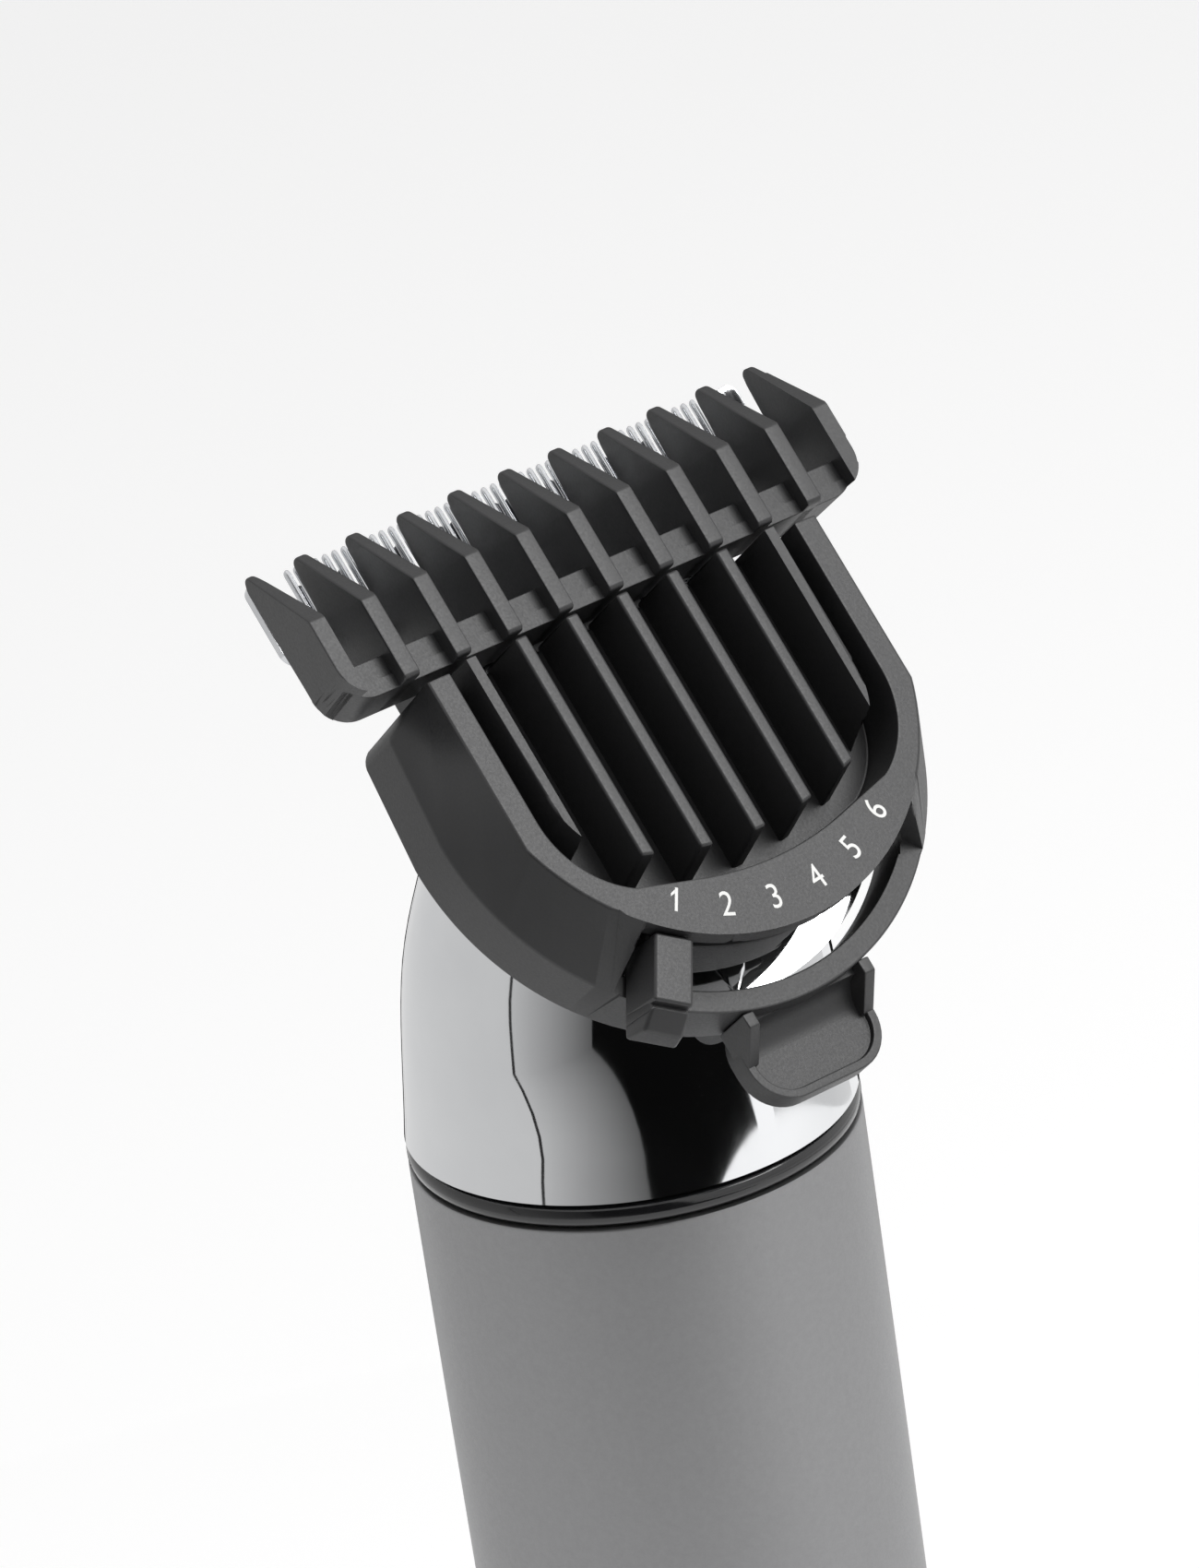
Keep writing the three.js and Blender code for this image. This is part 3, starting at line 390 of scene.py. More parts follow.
# %% [markdown]
# ### Chrome plating
# The head is polished, copper-nickel-chromed plastic or zinc. Its colour is that of chromium,
# slightly blue-grey, and it is almost a mirror. Wiping leaves long faint marks that only
# change how sharp the reflection is.

# %% Chrome
finishes["chrome"] = surface("chrome_plate", ("#d9dadc", "#e6e7e8"), (6,), (3, (1, 1, 4)), (0.015, 0.05),
                             0.001, Metallic=1.0)

# %% [markdown]
# ### Bead-blasted aluminium
# The handle's sleeve is drawn aluminium, bead-blasted and clear anodised: grey, with a soft
# wide highlight. The blast pits are about 0.05 mm and are drawn at 0.14 mm.

# %% Sleeve metal
finishes["satin_metal"] = surface("blasted_aluminium", ("#8d8d8e", "#979798"), (0.5,), (0.14,), (0.4, 0.5),
                                  0.008, Metallic=0.9)

# %% [markdown]
# ### Steels and brass
# Blades are ground across their length and then polished, so their scratches run with the
# teeth. Screws, the shaft and the motor's can are plain bright steel. Brass carries the
# current and makes the crank.

# %% Metals
for slot, name, shades, rough in (
        ("blade_steel", "polished_blade_steel", ("#c4c6c9", "#dcdddf"), (0.1, 0.2)),
        ("steel", "bright_steel", ("#a9abae", "#bfc1c3"), (0.18, 0.32)),
        ("brass", "brass", ("#b8924a", "#d0ac63"), (0.2, 0.35)),
        # the cutter's dark steel colour is painted shade from the fixed blade over it and a painted dark
        # reflection
        ("cutter_painted_shade", "hard_black_cutter_steel", ("#4a4b4e", "#5c5d60"), (0.22, 0.34))):
    finishes[slot] = surface(name, shades, (1.5,), (0.12, (1, 14, 14)), rough, 0.003, Metallic=1.0)

# %% [markdown]
# ### Plain mouldings, seal, board, film and lens
# These are the pieces under the skin: glossy black for the collar, acetal for what rubs,
# rubber for the seal, solder mask on the board, shrink film on the cell, and clear
# polycarbonate for the light guide. The numbers' ink is as plain as they are.

# %% Plastics
for slot, name, shades, rough, values in (
        ("black_gloss", "gloss_black_abs", ("#131314", "#18181a"), (0.12, 0.2), {"Coat_Weight": 0.3}),
        ("black_plastic", "plain_black_abs", ("#1c1c1d", "#252526"), (0.42, 0.55), {}),
        ("white_plastic", "acetal", ("#d5d2c8", "#e2e0d8"), (0.38, 0.5), {}),
        ("board", "solder_mask", ("#1a5232", "#24683f"), (0.3, 0.45), {}),
        ("cell_wrap", "shrink_film", ("#2a5a88", "#356a9b"), (0.2, 0.32), {}),
        ("ink", "pad_printed_ink", ("#dcdcda", "#ebebe9"), (0.45, 0.6), {})):
    finishes[slot] = surface(name, shades, (2,), (0.3,), rough, 0.006, **values)
finishes["rubber"] = surface("seal_rubber", ("#151515", "#1d1d1e"), (2,), (0.2,), (0.7, 0.85), 0.006)
finishes["lens"] = surface("polycarbonate_lens", ("#dfe8df", "#eef4ee"), (1,), (0.4,), (0.18, 0.28), 0.002,
                           IOR=1.58, Transmission_Weight=0.8)
print("finishes:", len(finishes))

# %% [markdown]
# ## Rows by Geometry Nodes
# Comb fins, guard ribs and blade teeth are the same shape again and again at one spacing. One
# node tree does them all: a line of points, an instance of the piece on each, then Realize
# Instances, because an export drops instances, and Set Material. Its inputs are the piece, the
# count, the place of the first and the step to the next, so each row is one call.

# %% The row tree
def row_tree():
    tree = bpy.data.node_groups.new("row of pieces", "GeometryNodeTree")
    face = tree.interface
    face.new_socket("Geometry", in_out="OUTPUT", socket_type="NodeSocketGeometry")
    for name, kind in (("Piece", "Object"), ("Count", "Int"), ("First", "Vector"), ("Step", "Vector"),
                       ("Finish", "Material")):
        face.new_socket(name, in_out="INPUT", socket_type="NodeSocket" + kind)
    given = tree.nodes.new("NodeGroupInput").outputs
    piece = add(tree, "GeometryNodeObjectInfo", Object=given["Piece"])
    line = add(tree, "GeometryNodeMeshLine", Count=given["Count"], Start_Location=given["First"],
               Offset=given["Step"])
    copies = add(tree, "GeometryNodeInstanceOnPoints", Points=line.outputs[0],
                 Instance=piece.outputs["Geometry"])
    solid = add(tree, "GeometryNodeRealizeInstances", Geometry=copies.outputs[0])
    dressed = add(tree, "GeometryNodeSetMaterial", Geometry=solid.outputs[0], Material=given["Finish"])
    add(tree, "NodeGroupOutput", Geometry=dressed.outputs[0])
    return tree


def run_tree(tree, name, **inputs):
    """A mesh made by the tree alone, with each input set through its socket's identifier."""
    host = new_object(name, bpy.data.meshes.new(name))
    maker = host.modifiers.new(tree.name, "NODES")
    maker.node_group = tree
    for socket in tree.interface.items_tree:
        if socket.in_out == "INPUT" and socket.name in inputs:
            maker[socket.identifier] = inputs[socket.name]
    return baked(host)


ROW = row_tree()


def row(name, piece, count, pitch, finish, z=0):
    """Copies of the piece, centred on x = 0, which use it up."""
    first = (-(count - 1) / 2 * pitch, 0, z)
    made = run_tree(ROW, name, Piece=piece, Count=count, First=first, Step=(pitch, 0, 0),
                    Finish=finishes[finish])
    bpy.data.objects.remove(piece)
    return made


# %% [markdown]
# ## Comb
# The comb is one moulding: eleven fins that stand on a cross bar, and a flat tongue that goes
# into the guard. A fin is thick at the rear and drafted towards a thin round tip, so it is the
# hull of a thick outline and a thin one. The comb's outline leans in a little towards its
# underside, so that it comes out of its mould: the end fins and the bar are cut to it.

# %% Comb sizes
GAP = 0.3
FIN_COUNT, FIN_PITCH, FIN_THICK, FIN_TIP_THICK = 11, 4, 1.2, 0.8
FIN_KNEE, FIN_TIP = 13, 18
COMB_REAR, COMB_DEPTH, COMB_CORNER, COMB_DRAFT = 7.25, 5.1, 2.3, 0.55
HEEL, HEEL_MIDDLE, KNEE_RUN, KNEE_DROP, FIN_EDGE = 0.35, 0.1, 0.25, 0.06, 0.14
TIP_ROUND, TIP_RISE, TIP_FLAT = 0.55, 0.6, 0.8
BAR_DEPTH, BAR_DROP, BAR_EDGE = 2.3, 1.2, 0.08
LEDGE_REACH, LEDGE_UNDER, LEDGE_OVER = 0.95, 0.4, 0.16
COMB_HALF = (FIN_COUNT - 1) / 2 * FIN_PITCH + FIN_THICK / 2
FLOOR_LOW = -5             # underside of the guard's recess floor
TONGUE_TOP, TONGUE_THICK, TONGUE_HALF, TONGUE_REACH = FLOOR_LOW - GAP, 0.55, 4.5, 11.8
TONGUE_IN, TONGUE_CUT, TONGUE_RISE, TONGUE_EDGE = 1, 2.2, 1.8, 0.06
COMB_TRAVEL, PIN_START, PIN_RADIUS = 5, 10, 1
BOSS_RADIUS, BOSS_BORE, BOSS_LOW = 2, 1.1, -7


# %% Comb
def fin():
    low = -COMB_DEPTH
    rear = [(COMB_REAR, low), (COMB_REAR, -HEEL), (COMB_REAR + HEEL_MIDDLE, -HEEL_MIDDLE),
            (COMB_REAR + HEEL, 0), (FIN_KNEE - KNEE_RUN, 0), (FIN_KNEE, -KNEE_DROP), (FIN_KNEE, low)]
    tip = [(FIN_TIP - TIP_FLAT, low)] + arc(FIN_TIP - TIP_ROUND, low + TIP_RISE, TIP_ROUND, -60, 65, 8)
    sides = [(half, y, z) for outline, thick in ((rear, FIN_THICK), (tip, FIN_TIP_THICK))
             for y, z in outline for half in (-thick / 2, thick / 2)]
    return hull("fin", sides)


def comb_plan(edge):
    return (arc(-edge + COMB_CORNER, COMB_REAR + COMB_CORNER, COMB_CORNER, 180, 270, 12)
            + arc(edge - COMB_CORNER, COMB_REAR + COMB_CORNER, COMB_CORNER, 270, 360, 12)
            + [(edge, FIN_TIP + 1), (-edge, FIN_TIP + 1)])


def comb():
    def plan(past=0.5):
        return hull("plan", layer(comb_plan(COMB_HALF), past),
                    layer(comb_plan(COMB_HALF - COMB_DRAFT), -COMB_DEPTH - past))

    def end_fin(side):
        place = side * (FIN_COUNT - 1) / 2 * FIN_PITCH
        return eased(combine(moved(fin(), place), "INTERSECT", plan()), FIN_EDGE, flats=True)

    inner = row("fins", eased(fin(), FIN_EDGE, flats=True), FIN_COUNT - 2, FIN_PITCH, "guard_plastic")
    ends = [end_fin(side) for side in (-1, 1)]
    bar = block("bar", (-COMB_HALF, COMB_HALF), (COMB_REAR, COMB_REAR + BAR_DEPTH),
                (-COMB_DEPTH, -BAR_DROP))
    ledge = block("ledge", (-COMB_HALF, COMB_HALF), (COMB_REAR, COMB_REAR + LEDGE_REACH),
                  (-BAR_DROP - LEDGE_UNDER, -BAR_DROP + LEDGE_OVER))
    combine(bar, "UNION", ledge)
    eased(combine(bar, "INTERSECT", plan()), BAR_EDGE)
    low, root, slope = TONGUE_TOP - TONGUE_THICK, COMB_REAR + TONGUE_IN, -TONGUE_REACH + TONGUE_RISE
    outline = [(-TONGUE_HALF, root), (-TONGUE_HALF, slope), (-TONGUE_HALF + TONGUE_CUT, -TONGUE_REACH),
               (TONGUE_HALF - TONGUE_CUT, -TONGUE_REACH), (TONGUE_HALF, slope), (TONGUE_HALF, root)]
    half = BOSS_RADIUS + GAP
    slot = prism("slot", box_outline(-half, half, -COMB_TRAVEL - half, half, 2.2, 8), low - 1,
                 TONGUE_TOP + 1)
    tongue = combine(prism("tongue", outline, low, TONGUE_TOP), "DIFFERENCE", slot)
    step = block("step", (-TONGUE_HALF, TONGUE_HALF), (COMB_REAR + 0.2, COMB_REAR + BAR_DEPTH - 0.2),
                 (low, -COMB_DEPTH + 0.3))
    pin = rod("pin", PIN_RADIUS, low - 1, TONGUE_TOP - 0.1, 0, -PIN_START)
    return merged("comb", inner, *ends, bar, eased(tongue, TONGUE_EDGE), smooth(step), smooth(pin))


hand_in(comb(), HEAD, "comb", "guard_plastic", "comb_slider")

# %% [markdown]
# ## Guard
# The guard is a shallow cap: a flat number plate, a slope, and an upright rim that clips over the
# chrome head. It is convex from outside, so it is the hull of the plate's outline and the rim's.
# The inside is the same hull drawn in by the wall. The ribbed recess is a tub let into the plate,
# and a slot round the lower edge lets the dial's lever out.

# %% Guard sizes
PLATE_HALF, PLATE_RADIUS, PLATE_EDGE, PLATE_THICK = 15.4, 16.3, 6.6, 1.4
RIM_RADIUS, RIM_CENTRE, RIM_EDGE, RIM_HALF, RIM_CORNER, RIM_WALL = 17.8, -2, 6.1, 17.2, 1.4, 1.5
SLOPE_DROP, RIM_DEPTH = 4.4, 8.4
RECESS_HALF, RECESS_LOW, RECESS_ARC, RECESS_CORNER, RECESS_DEPTH = 13.7, -12, 23, 7, 4.3
RIB_COUNT, RIB_THICK, RIB_TOP, RIB_GAP = 7, 0.95, 6.9, 1.1
SLOT_ANGLE, FENCE_INNER = 40.5, 15.5
TAB_HALF, TAB_REACH, TAB_THICK, TAB_TOP, TAB_ROOT, TAB_CORNER = 5.1, 25, 1.3, -7.5, -18.4, 2.9
LIP_WIDTH, LIP_HEIGHT, COVE_SIZE, GUSSET_X, GUSSET_HALF, GUSSET_REACH = 0.6, 0.42, 1.9, 4.65, 0.42, 2.2
TUB_WALL, RIB_LEAN, RIB_RUN, BLADE_PASS_HALF, BLADE_PASS_LOW = 0.5, 0.97, 0.9, 12.6, 3.6
PAST = 30                  # far outside the guard, for what is cut right through it


# %% Guard outlines
def plate_outline(inset=0):
    half, radius = PLATE_HALF - inset, PLATE_RADIUS - inset
    side = math.degrees(math.acos(half / radius))
    top = PLATE_EDGE - inset
    return [(half, top)] + arc(0, 0, radius, -side, side - 180, 72) + [(-half, top)]


def rim_outline(inset=0):
    half, top = RIM_HALF - inset, RIM_EDGE - inset
    return (arc(0, RIM_CENTRE, RIM_RADIUS - inset, 0, -180, 96)
            + arc(-half + RIM_CORNER, top - RIM_CORNER, RIM_CORNER, 180, 90, 8)
            + arc(half - RIM_CORNER, top - RIM_CORNER, RIM_CORNER, 90, 0, 8))


def recess_edge(x):
    """Height of the recess' lower wall at x."""
    return RECESS_LOW + RECESS_ARC - math.sqrt(RECESS_ARC ** 2 - x ** 2)


def recess_outline(outset=0, top=PLATE_EDGE + 1):
    half, bend = RECESS_HALF + outset, RECESS_HALF - RECESS_CORNER
    corner = recess_edge(bend) + RECESS_CORNER
    round_by = RECESS_CORNER + outset
    low = [bend - bend * i / 10 for i in range(1, 20)]
    return ([(half, top)] + arc(bend, corner, round_by, 0, -62, 16)
            + [(x, recess_edge(x) - outset) for x in low]
            + arc(-bend, corner, round_by, 242, 180, 16) + [(-half, top)])


def sector(name, inner, outer, start, end, low, high):
    """Part of a flat ring about the dial's centre, angles from straight down."""
    outline = arc(0, 0, outer, start - 90, end - 90, 48) + arc(0, 0, inner, end - 90, start - 90, 48)
    return prism(name, outline, low, high)


# %% Guard
def across(name, outline, left, right):
    """A (y, z) outline thickened along x."""
    return loft(name, [[(x, y, z) for y, z in outline] for x in (left, right)])


def thumb_tab():
    """The tab, its raised lip, the cove where it meets the rim, and two gussets."""
    def outline(inset):
        return box_outline(-TAB_HALF + inset, TAB_HALF - inset, -TAB_REACH + inset, TAB_ROOT,
                           TAB_CORNER - inset, 10)
    lip = combine(prism("lip", outline(0), TAB_TOP - 0.2, TAB_TOP + LIP_HEIGHT), "DIFFERENCE",
                  prism("dish", outline(LIP_WIDTH), TAB_TOP, TAB_TOP + 2))
    wall = -RIM_RADIUS + RIM_CENTRE
    cove_line = ([(wall + 0.8, TAB_TOP - 0.3), (wall + 0.8, TAB_TOP + COVE_SIZE)]
                 + arc(wall - COVE_SIZE + 0.1, TAB_TOP + COVE_SIZE, COVE_SIZE, 0, -90, 12)
                 + [(wall - COVE_SIZE + 0.1, TAB_TOP - 0.3)])
    cove = across("cove", cove_line, -TAB_HALF + 0.8, TAB_HALF - 0.8)
    top, low = -SLOPE_DROP - 0.25, TAB_TOP - 0.6
    gusset_line = [(wall + 0.6, top), (wall - 0.35, top), (wall - GUSSET_REACH, TAB_TOP + 0.4),
                   (wall - GUSSET_REACH, low), (wall + 0.6, low)]
    gussets = [across("gusset", gusset_line, side * GUSSET_X - GUSSET_HALF, side * GUSSET_X + GUSSET_HALF)
               for side in (-1, 1)]
    plate = combine(prism("tab", outline(0), TAB_TOP - TAB_THICK, TAB_TOP), "UNION", lip)
    return [eased(plate, 0.12), smooth(cove), *(eased(gusset, 0.1) for gusset in gussets)]


def guard():
    outside = hull("guard", layer(plate_outline(), 0), layer(rim_outline(), -SLOPE_DROP),
                   layer(rim_outline(), -RIM_DEPTH))
    inside = hull("inside", layer(plate_outline(RIM_WALL / 2), -PLATE_THICK),
                  layer(rim_outline(RIM_WALL), -SLOPE_DROP), layer(rim_outline(RIM_WALL), -RIM_DEPTH - 1))
    combine(outside, "DIFFERENCE", inside)
    combine(outside, "UNION", prism("tub", recess_outline(TUB_WALL, PLATE_EDGE), FLOOR_LOW, -0.2))
    cutters = [
        prism("recess", recess_outline(), -RECESS_DEPTH, PAST),
        sector("slot", PLATE_RADIUS, PAST, -SLOT_ANGLE, SLOT_ANGLE, -SLOPE_DROP, PAST),
        sector("slot_under", FENCE_INNER - GAP, PAST, -SLOT_ANGLE, SLOT_ANGLE, -SLOPE_DROP, -PLATE_THICK),
        block("tongue_pass", (-TONGUE_HALF - 0.8, TONGUE_HALF + 0.8), (0, PAST), (-PAST, FLOOR_LOW - 0.01)),
        block("blade_pass", (-BLADE_PASS_HALF, BLADE_PASS_HALF), (BLADE_PASS_LOW, PAST), (-PAST, -5.8)),
    ]
    combine(outside, "DIFFERENCE", *cutters)
    rib = across("rib", box_outline(-14, RIB_TOP, -RECESS_DEPTH - 0.3, 0), -RIB_THICK / 2, RIB_THICK / 2)
    ribs = row("ribs", rib, RIB_COUNT, FIN_PITCH, "guard_plastic")
    shorter = recess_outline(-RIB_GAP)
    combine(ribs, "INTERSECT", hull("rib_room", layer(shorter, -RECESS_DEPTH - 0.5),
                                    layer([(x * RIB_LEAN, y + RIB_RUN) for x, y in shorter], 0.1)))
    boss = combine(rod("boss", BOSS_RADIUS, BOSS_LOW, FLOOR_LOW + 0.2), "DIFFERENCE",
                   rod("hole", BOSS_BORE, BOSS_LOW - 1, FLOOR_LOW - 0.3))
    return merged("guard", eased(outside, 0.16, angle=14), eased(ribs, 0.2, 3), smooth(boss), *thumb_tab())


hand_in(guard(), HEAD, "guard", "guard_plastic", "guard_base")

# %% [markdown]
# ## Numbers
# The six numbers are pad printed in white, upright towards the dial's centre. A printed film is
# about 0.02 mm thick, so each is text made a mesh, raised by that much over the plate.

# %% Numbers
NUMBER_SIZE, NUMBER_WIDTH, NUMBER_RADIUS, INK_THICK = 2.3, 0.86, 14.4, 0.012
FIRST_NUMBER, NUMBER_STEP, NUMBER_COUNT = -33.9, 13.5, 6


def number(digit):
    curve = bpy.data.curves.new("digit", "FONT")
    curve.body = str(digit)
    curve.size = NUMBER_SIZE
    curve.align_x = curve.align_y = "CENTER"
    curve.extrude = INK_THICK
    text = new_object("digit", curve)
    graph = bpy.context.evaluated_depsgraph_get()
    parts = [new_object("digit", bpy.data.meshes.new_from_object(text.evaluated_get(graph)))]
    bpy.data.objects.remove(text)
    if digit == 1:
        parts.append(prism("flag", [(-0.1, 0.76), (-0.1, 0.5), (-0.42, 0.24), (-0.42, 0.44)],
                           -INK_THICK, INK_THICK))
    piece = merged(f"number_{digit}", *parts)
    angle = math.radians(FIRST_NUMBER + NUMBER_STEP * (digit - 1))
    piece.data.transform(Matrix.Rotation(angle, 4, "Z") @ Matrix.Translation((0, -NUMBER_RADIUS, INK_THICK))
                         @ Matrix.Diagonal((NUMBER_WIDTH, 1, 1, 1)))
    return piece


for digit in range(1, NUMBER_COUNT + 1):
    hand_in(number(digit), HEAD, "guard", None, finish="ink")

# %% [markdown]
# ## Dial
# The dial is a disc under the guard with a spiral slot that the comb's pin follows, a low fence
# that closes the gap below the plate, and a thumb lever that comes out through the slot. The
# lever is drafted: narrow on top and wider below, with a groove before its sloping end.

# %% Dial
DISC_TOP, DISC_LOW = -6.15, -6.85
DISC_RADIUS, HUB_RADIUS, HUB_BORE = 12.2, 4.2, 2.07
DIAL_START, DIAL_TURN, CAM_HALF = -33.5, 67.5, 1.25
LEVER_TOP, LEVER_LOW, LEVER_REACH, LEVER_HALF, LEVER_DRAFT, LEVER_EDGE = -0.45, -4.1, 22.4, 1.27, 0.4, 0.22
GROOVE_TOP, GROOVE_NEAR, GROOVE_FAR, NOSE_TOP, NOSE_END = -1.15, 1.45, 1.15, -0.85, -2.1
FENCE_TOP, FENCE_OUTER, ROOT_OUTER, ROOT_HALF_ANGLE = -2.6, 16.05, 17.4, 4.2


def cam_slot():
    pull = COMB_TRAVEL / math.radians(DIAL_TURN)

    def line(offset, steps=40):
        found = []
        for i in range(steps + 1):
            middle = PIN_START - COMB_TRAVEL * i / steps
            a = math.radians(-90 - DIAL_TURN * i / steps)
            r = middle + offset * math.hypot(1, pull / middle)
            found.append((r * math.cos(a), r * math.sin(a)))
        return found
    last = line(0)[-1]
    stop = -90 - DIAL_TURN
    outline = (arc(0, -PIN_START, CAM_HALF, -90, 90, 12)[1:-1] + line(-CAM_HALF)
               + arc(last[0], last[1], CAM_HALF, stop + 180, stop + 360, 12)[1:-1]
               + line(CAM_HALF)[::-1])
    return prism("cam", outline, DISC_LOW - 1, DISC_TOP + 1)


def lever():
    def slab(near, far, top_near, top_far, low_far):
        wide = LEVER_HALF + LEVER_DRAFT
        return hull("lever", [(x, -near, top_near) for x in (-LEVER_HALF, LEVER_HALF)],
                    [(x, -far, top_far) for x in (-LEVER_HALF, LEVER_HALF)],
                    [(x, -near, LEVER_LOW) for x in (-wide, wide)],
                    [(x, -far + 0.15, low_far) for x in (-wide, wide)])
    parts = [
        slab(PLATE_RADIUS + 0.15, LEVER_REACH - GROOVE_NEAR, LEVER_TOP, LEVER_TOP, LEVER_LOW),
        slab(LEVER_REACH - 1.9, LEVER_REACH - 0.8, GROOVE_TOP, GROOVE_TOP, LEVER_LOW),
        slab(LEVER_REACH - GROOVE_FAR, LEVER_REACH, NOSE_TOP, NOSE_END, LEVER_LOW + 0.1),
    ]
    inner = block("inner", (-LEVER_HALF, LEVER_HALF), (-PLATE_RADIUS - 0.5, -FENCE_INNER),
                  (LEVER_LOW, -PLATE_THICK - GAP))
    made = merged("lever", *(eased(part, LEVER_EDGE, 3) for part in parts), eased(inner, 0.1))
    made.data.transform(Matrix.Rotation(math.radians(DIAL_START), 4, "Z"))
    return made


def dial():
    body = rod("disc", HUB_RADIUS, DISC_LOW, DISC_TOP, steps=64)
    combine(body, "UNION", sector("disc", 1, DISC_RADIUS, -95, 20, DISC_LOW, DISC_TOP),
            sector("arm", DISC_RADIUS - 1, FENCE_OUTER, -52, 4, DISC_LOW, DISC_TOP))
    combine(body, "DIFFERENCE", cam_slot(), rod("bore", HUB_BORE, -20, 20))
    fence = sector("fence", FENCE_INNER, FENCE_OUTER, -38.5, 2, DISC_LOW + 0.2, FENCE_TOP)
    root = sector("root", FENCE_INNER, ROOT_OUTER, DIAL_START - ROOT_HALF_ANGLE,
                  DIAL_START + ROOT_HALF_ANGLE, DISC_LOW + 0.2, LEVER_LOW + 0.2)
    return merged("dial_lever", eased(body, 0.1), eased(fence, 0.12), eased(root, 0.12), lever())


hand_in(dial(), HEAD, "dial", "guard_plastic", "dial")

# %% [markdown]
# ## Blades
# The fixed blade is a ground steel plate whose teeth are rounded like rods, so that they slide
# on the skin. The cutter under it has fewer and flatter teeth, and its steel has a darker colour
# that is painted shade from the fixed blade over it and a painted dark reflection. Both rows come
# from the row tree, and each is joined to its plate.

# %% Blades
BLADE_TOP, BLADE_THICK, BLADE_HALF, BLADE_TIP, BLADE_ROOT = -6.1, 0.6, 19.5, 18, 14.3
BLADE_BACK, BLADE_WAIST, BLADE_LOW, TOOTH_PITCH, TOOTH_WIDTH = 12.2, 12, 5.6, 0.736, 0.42
CUTTER_TOP, CUTTER_THICK, CUTTER_HALF, CUTTER_TIP, CUTTER_ROOT = -7, 0.6, 17.4, 17, 14
CUTTER_BACK, CUTTER_BACK_HALF, CUTTER_SIDE, CUTTER_PITCH, CUTTER_TOOTH = 9.9, 8, 1.5, 1.1, 0.6
SCREW_X, SCREW_Y, EAR_CORNER, EAR_TIP, EAR_WIDE, TOOTH_FREE = 9, 8.7, 1.1, 0.7, 1.6, 1.9


def tooth(width, thick, root, tip, bluff):
    """A rod with an oval section and a round end; bluff is how far the round end reaches back."""
    rings = []
    for y, share in [(root, 1), (tip - bluff, 1), (tip - bluff * 0.6, 0.92), (tip - bluff * 0.28, 0.7),
                     (tip - bluff * 0.08, 0.38), (tip, 0.1)]:
        circle = arc(0, 0, 0.5, 0, 330, 11)
        rings.append([(x * width * share, y, z * thick * (0.35 + 0.65 * share)) for x, z in circle])
    return loft("tooth", rings)


def fixed_blade():
    count = 2 * math.floor((BLADE_HALF - TOOTH_FREE) / TOOTH_PITCH) - 1
    right = ([(BLADE_WAIST, BLADE_LOW), (BLADE_WAIST, BLADE_BACK)]
             + arc(BLADE_HALF - EAR_CORNER, BLADE_BACK + EAR_CORNER, EAR_CORNER, 270, 360, 8)
             + arc(BLADE_HALF - EAR_TIP, BLADE_TIP - EAR_TIP, EAR_TIP, 0, 80, 8)
             + [(BLADE_HALF - EAR_WIDE + 0.3, BLADE_TIP - 0.1), (BLADE_HALF - EAR_WIDE, BLADE_ROOT + 0.3)])
    outline = right + [(-x, y) for x, y in right[::-1]]
    plate = prism("fixed_blade_polished", outline, BLADE_TOP - BLADE_THICK, BLADE_TOP)
    holes = [rod("hole", 1, -20, 0, side * SCREW_X, SCREW_Y) for side in (-1, 1)]
    combine(plate, "DIFFERENCE", *holes)
    teeth = row("teeth", tooth(TOOTH_WIDTH, BLADE_THICK, BLADE_ROOT - 0.2, BLADE_TIP, 0.35), count,
                TOOTH_PITCH, "blade_steel", z=BLADE_TOP - BLADE_THICK / 2)
    combine(plate, "UNION", teeth)
    return eased(plate, 0.05, 2, 50)


def cutter():
    count = 2 * math.floor((CUTTER_HALF - 1) / CUTTER_PITCH) + 1
    side, front = CUTTER_ROOT - CUTTER_SIDE, CUTTER_ROOT + 0.2
    outline = [(CUTTER_HALF, side), (CUTTER_HALF, front), (-CUTTER_HALF, front), (-CUTTER_HALF, side),
               (-CUTTER_BACK_HALF, CUTTER_BACK), (CUTTER_BACK_HALF, CUTTER_BACK)]
    plate = prism("moving_cutter_ground", outline, CUTTER_TOP - CUTTER_THICK, CUTTER_TOP)
    teeth = row("teeth", tooth(CUTTER_TOOTH, CUTTER_THICK, CUTTER_ROOT, CUTTER_TIP, 0.25), count,
                CUTTER_PITCH, "cutter_painted_shade", z=CUTTER_TOP - CUTTER_THICK / 2)
    combine(plate, "UNION", teeth)
    return eased(plate, 0.04, 2, 50)


hand_in(fixed_blade(), HEAD, "handle", "blade_steel", "fixed_blade")
# the cutter's darker finish is painted shade and a painted dark reflection, not its own colour
hand_in(cutter(), HEAD, "cutter", "blade_steel", "moving_cutter", finish="cutter_painted_shade")

# %% [markdown]
# ## Chrome head
# The neck is a round tube at the collar that narrows behind and at the sides as it rises, while
# its front stays upright. It is lofted through closely spaced rings, because a mirror shows every
# facet. The guard's seat, the blade seat and the drive's window are cut from it.

# %% Head sizes
BODY_LENGTH = COLLAR_TOP + GAP / 2
BODY_RADIUS = 14.58
HEAD_FACE, FLANGE_INSET, FLANGE_THICK, HEAD_WALL = -8, 2.1, 1, 1.3
# height, half width, reach behind
HEAD_SECTIONS = [(0, BODY_RADIUS, BODY_RADIUS), (12, 13.2, 12.5), (22, 10.1, 9), (30, 9.1, 7.9),
                 (38, 8.4, 4.6)]
WINDOW_HALF, WINDOW_LOW, WINDOW_DEPTH = 6.9, 2.5, -12.5
SEAT_HALF, SEAT_LOW, SEAT_BACK = 12, 4.6, -10
NECK = Matrix.Translation((0, 0, BODY_LENGTH * MM)) @ Matrix.Scale(MM, 4)
HEAD_ON_NECK = NECK.inverted() @ HEAD


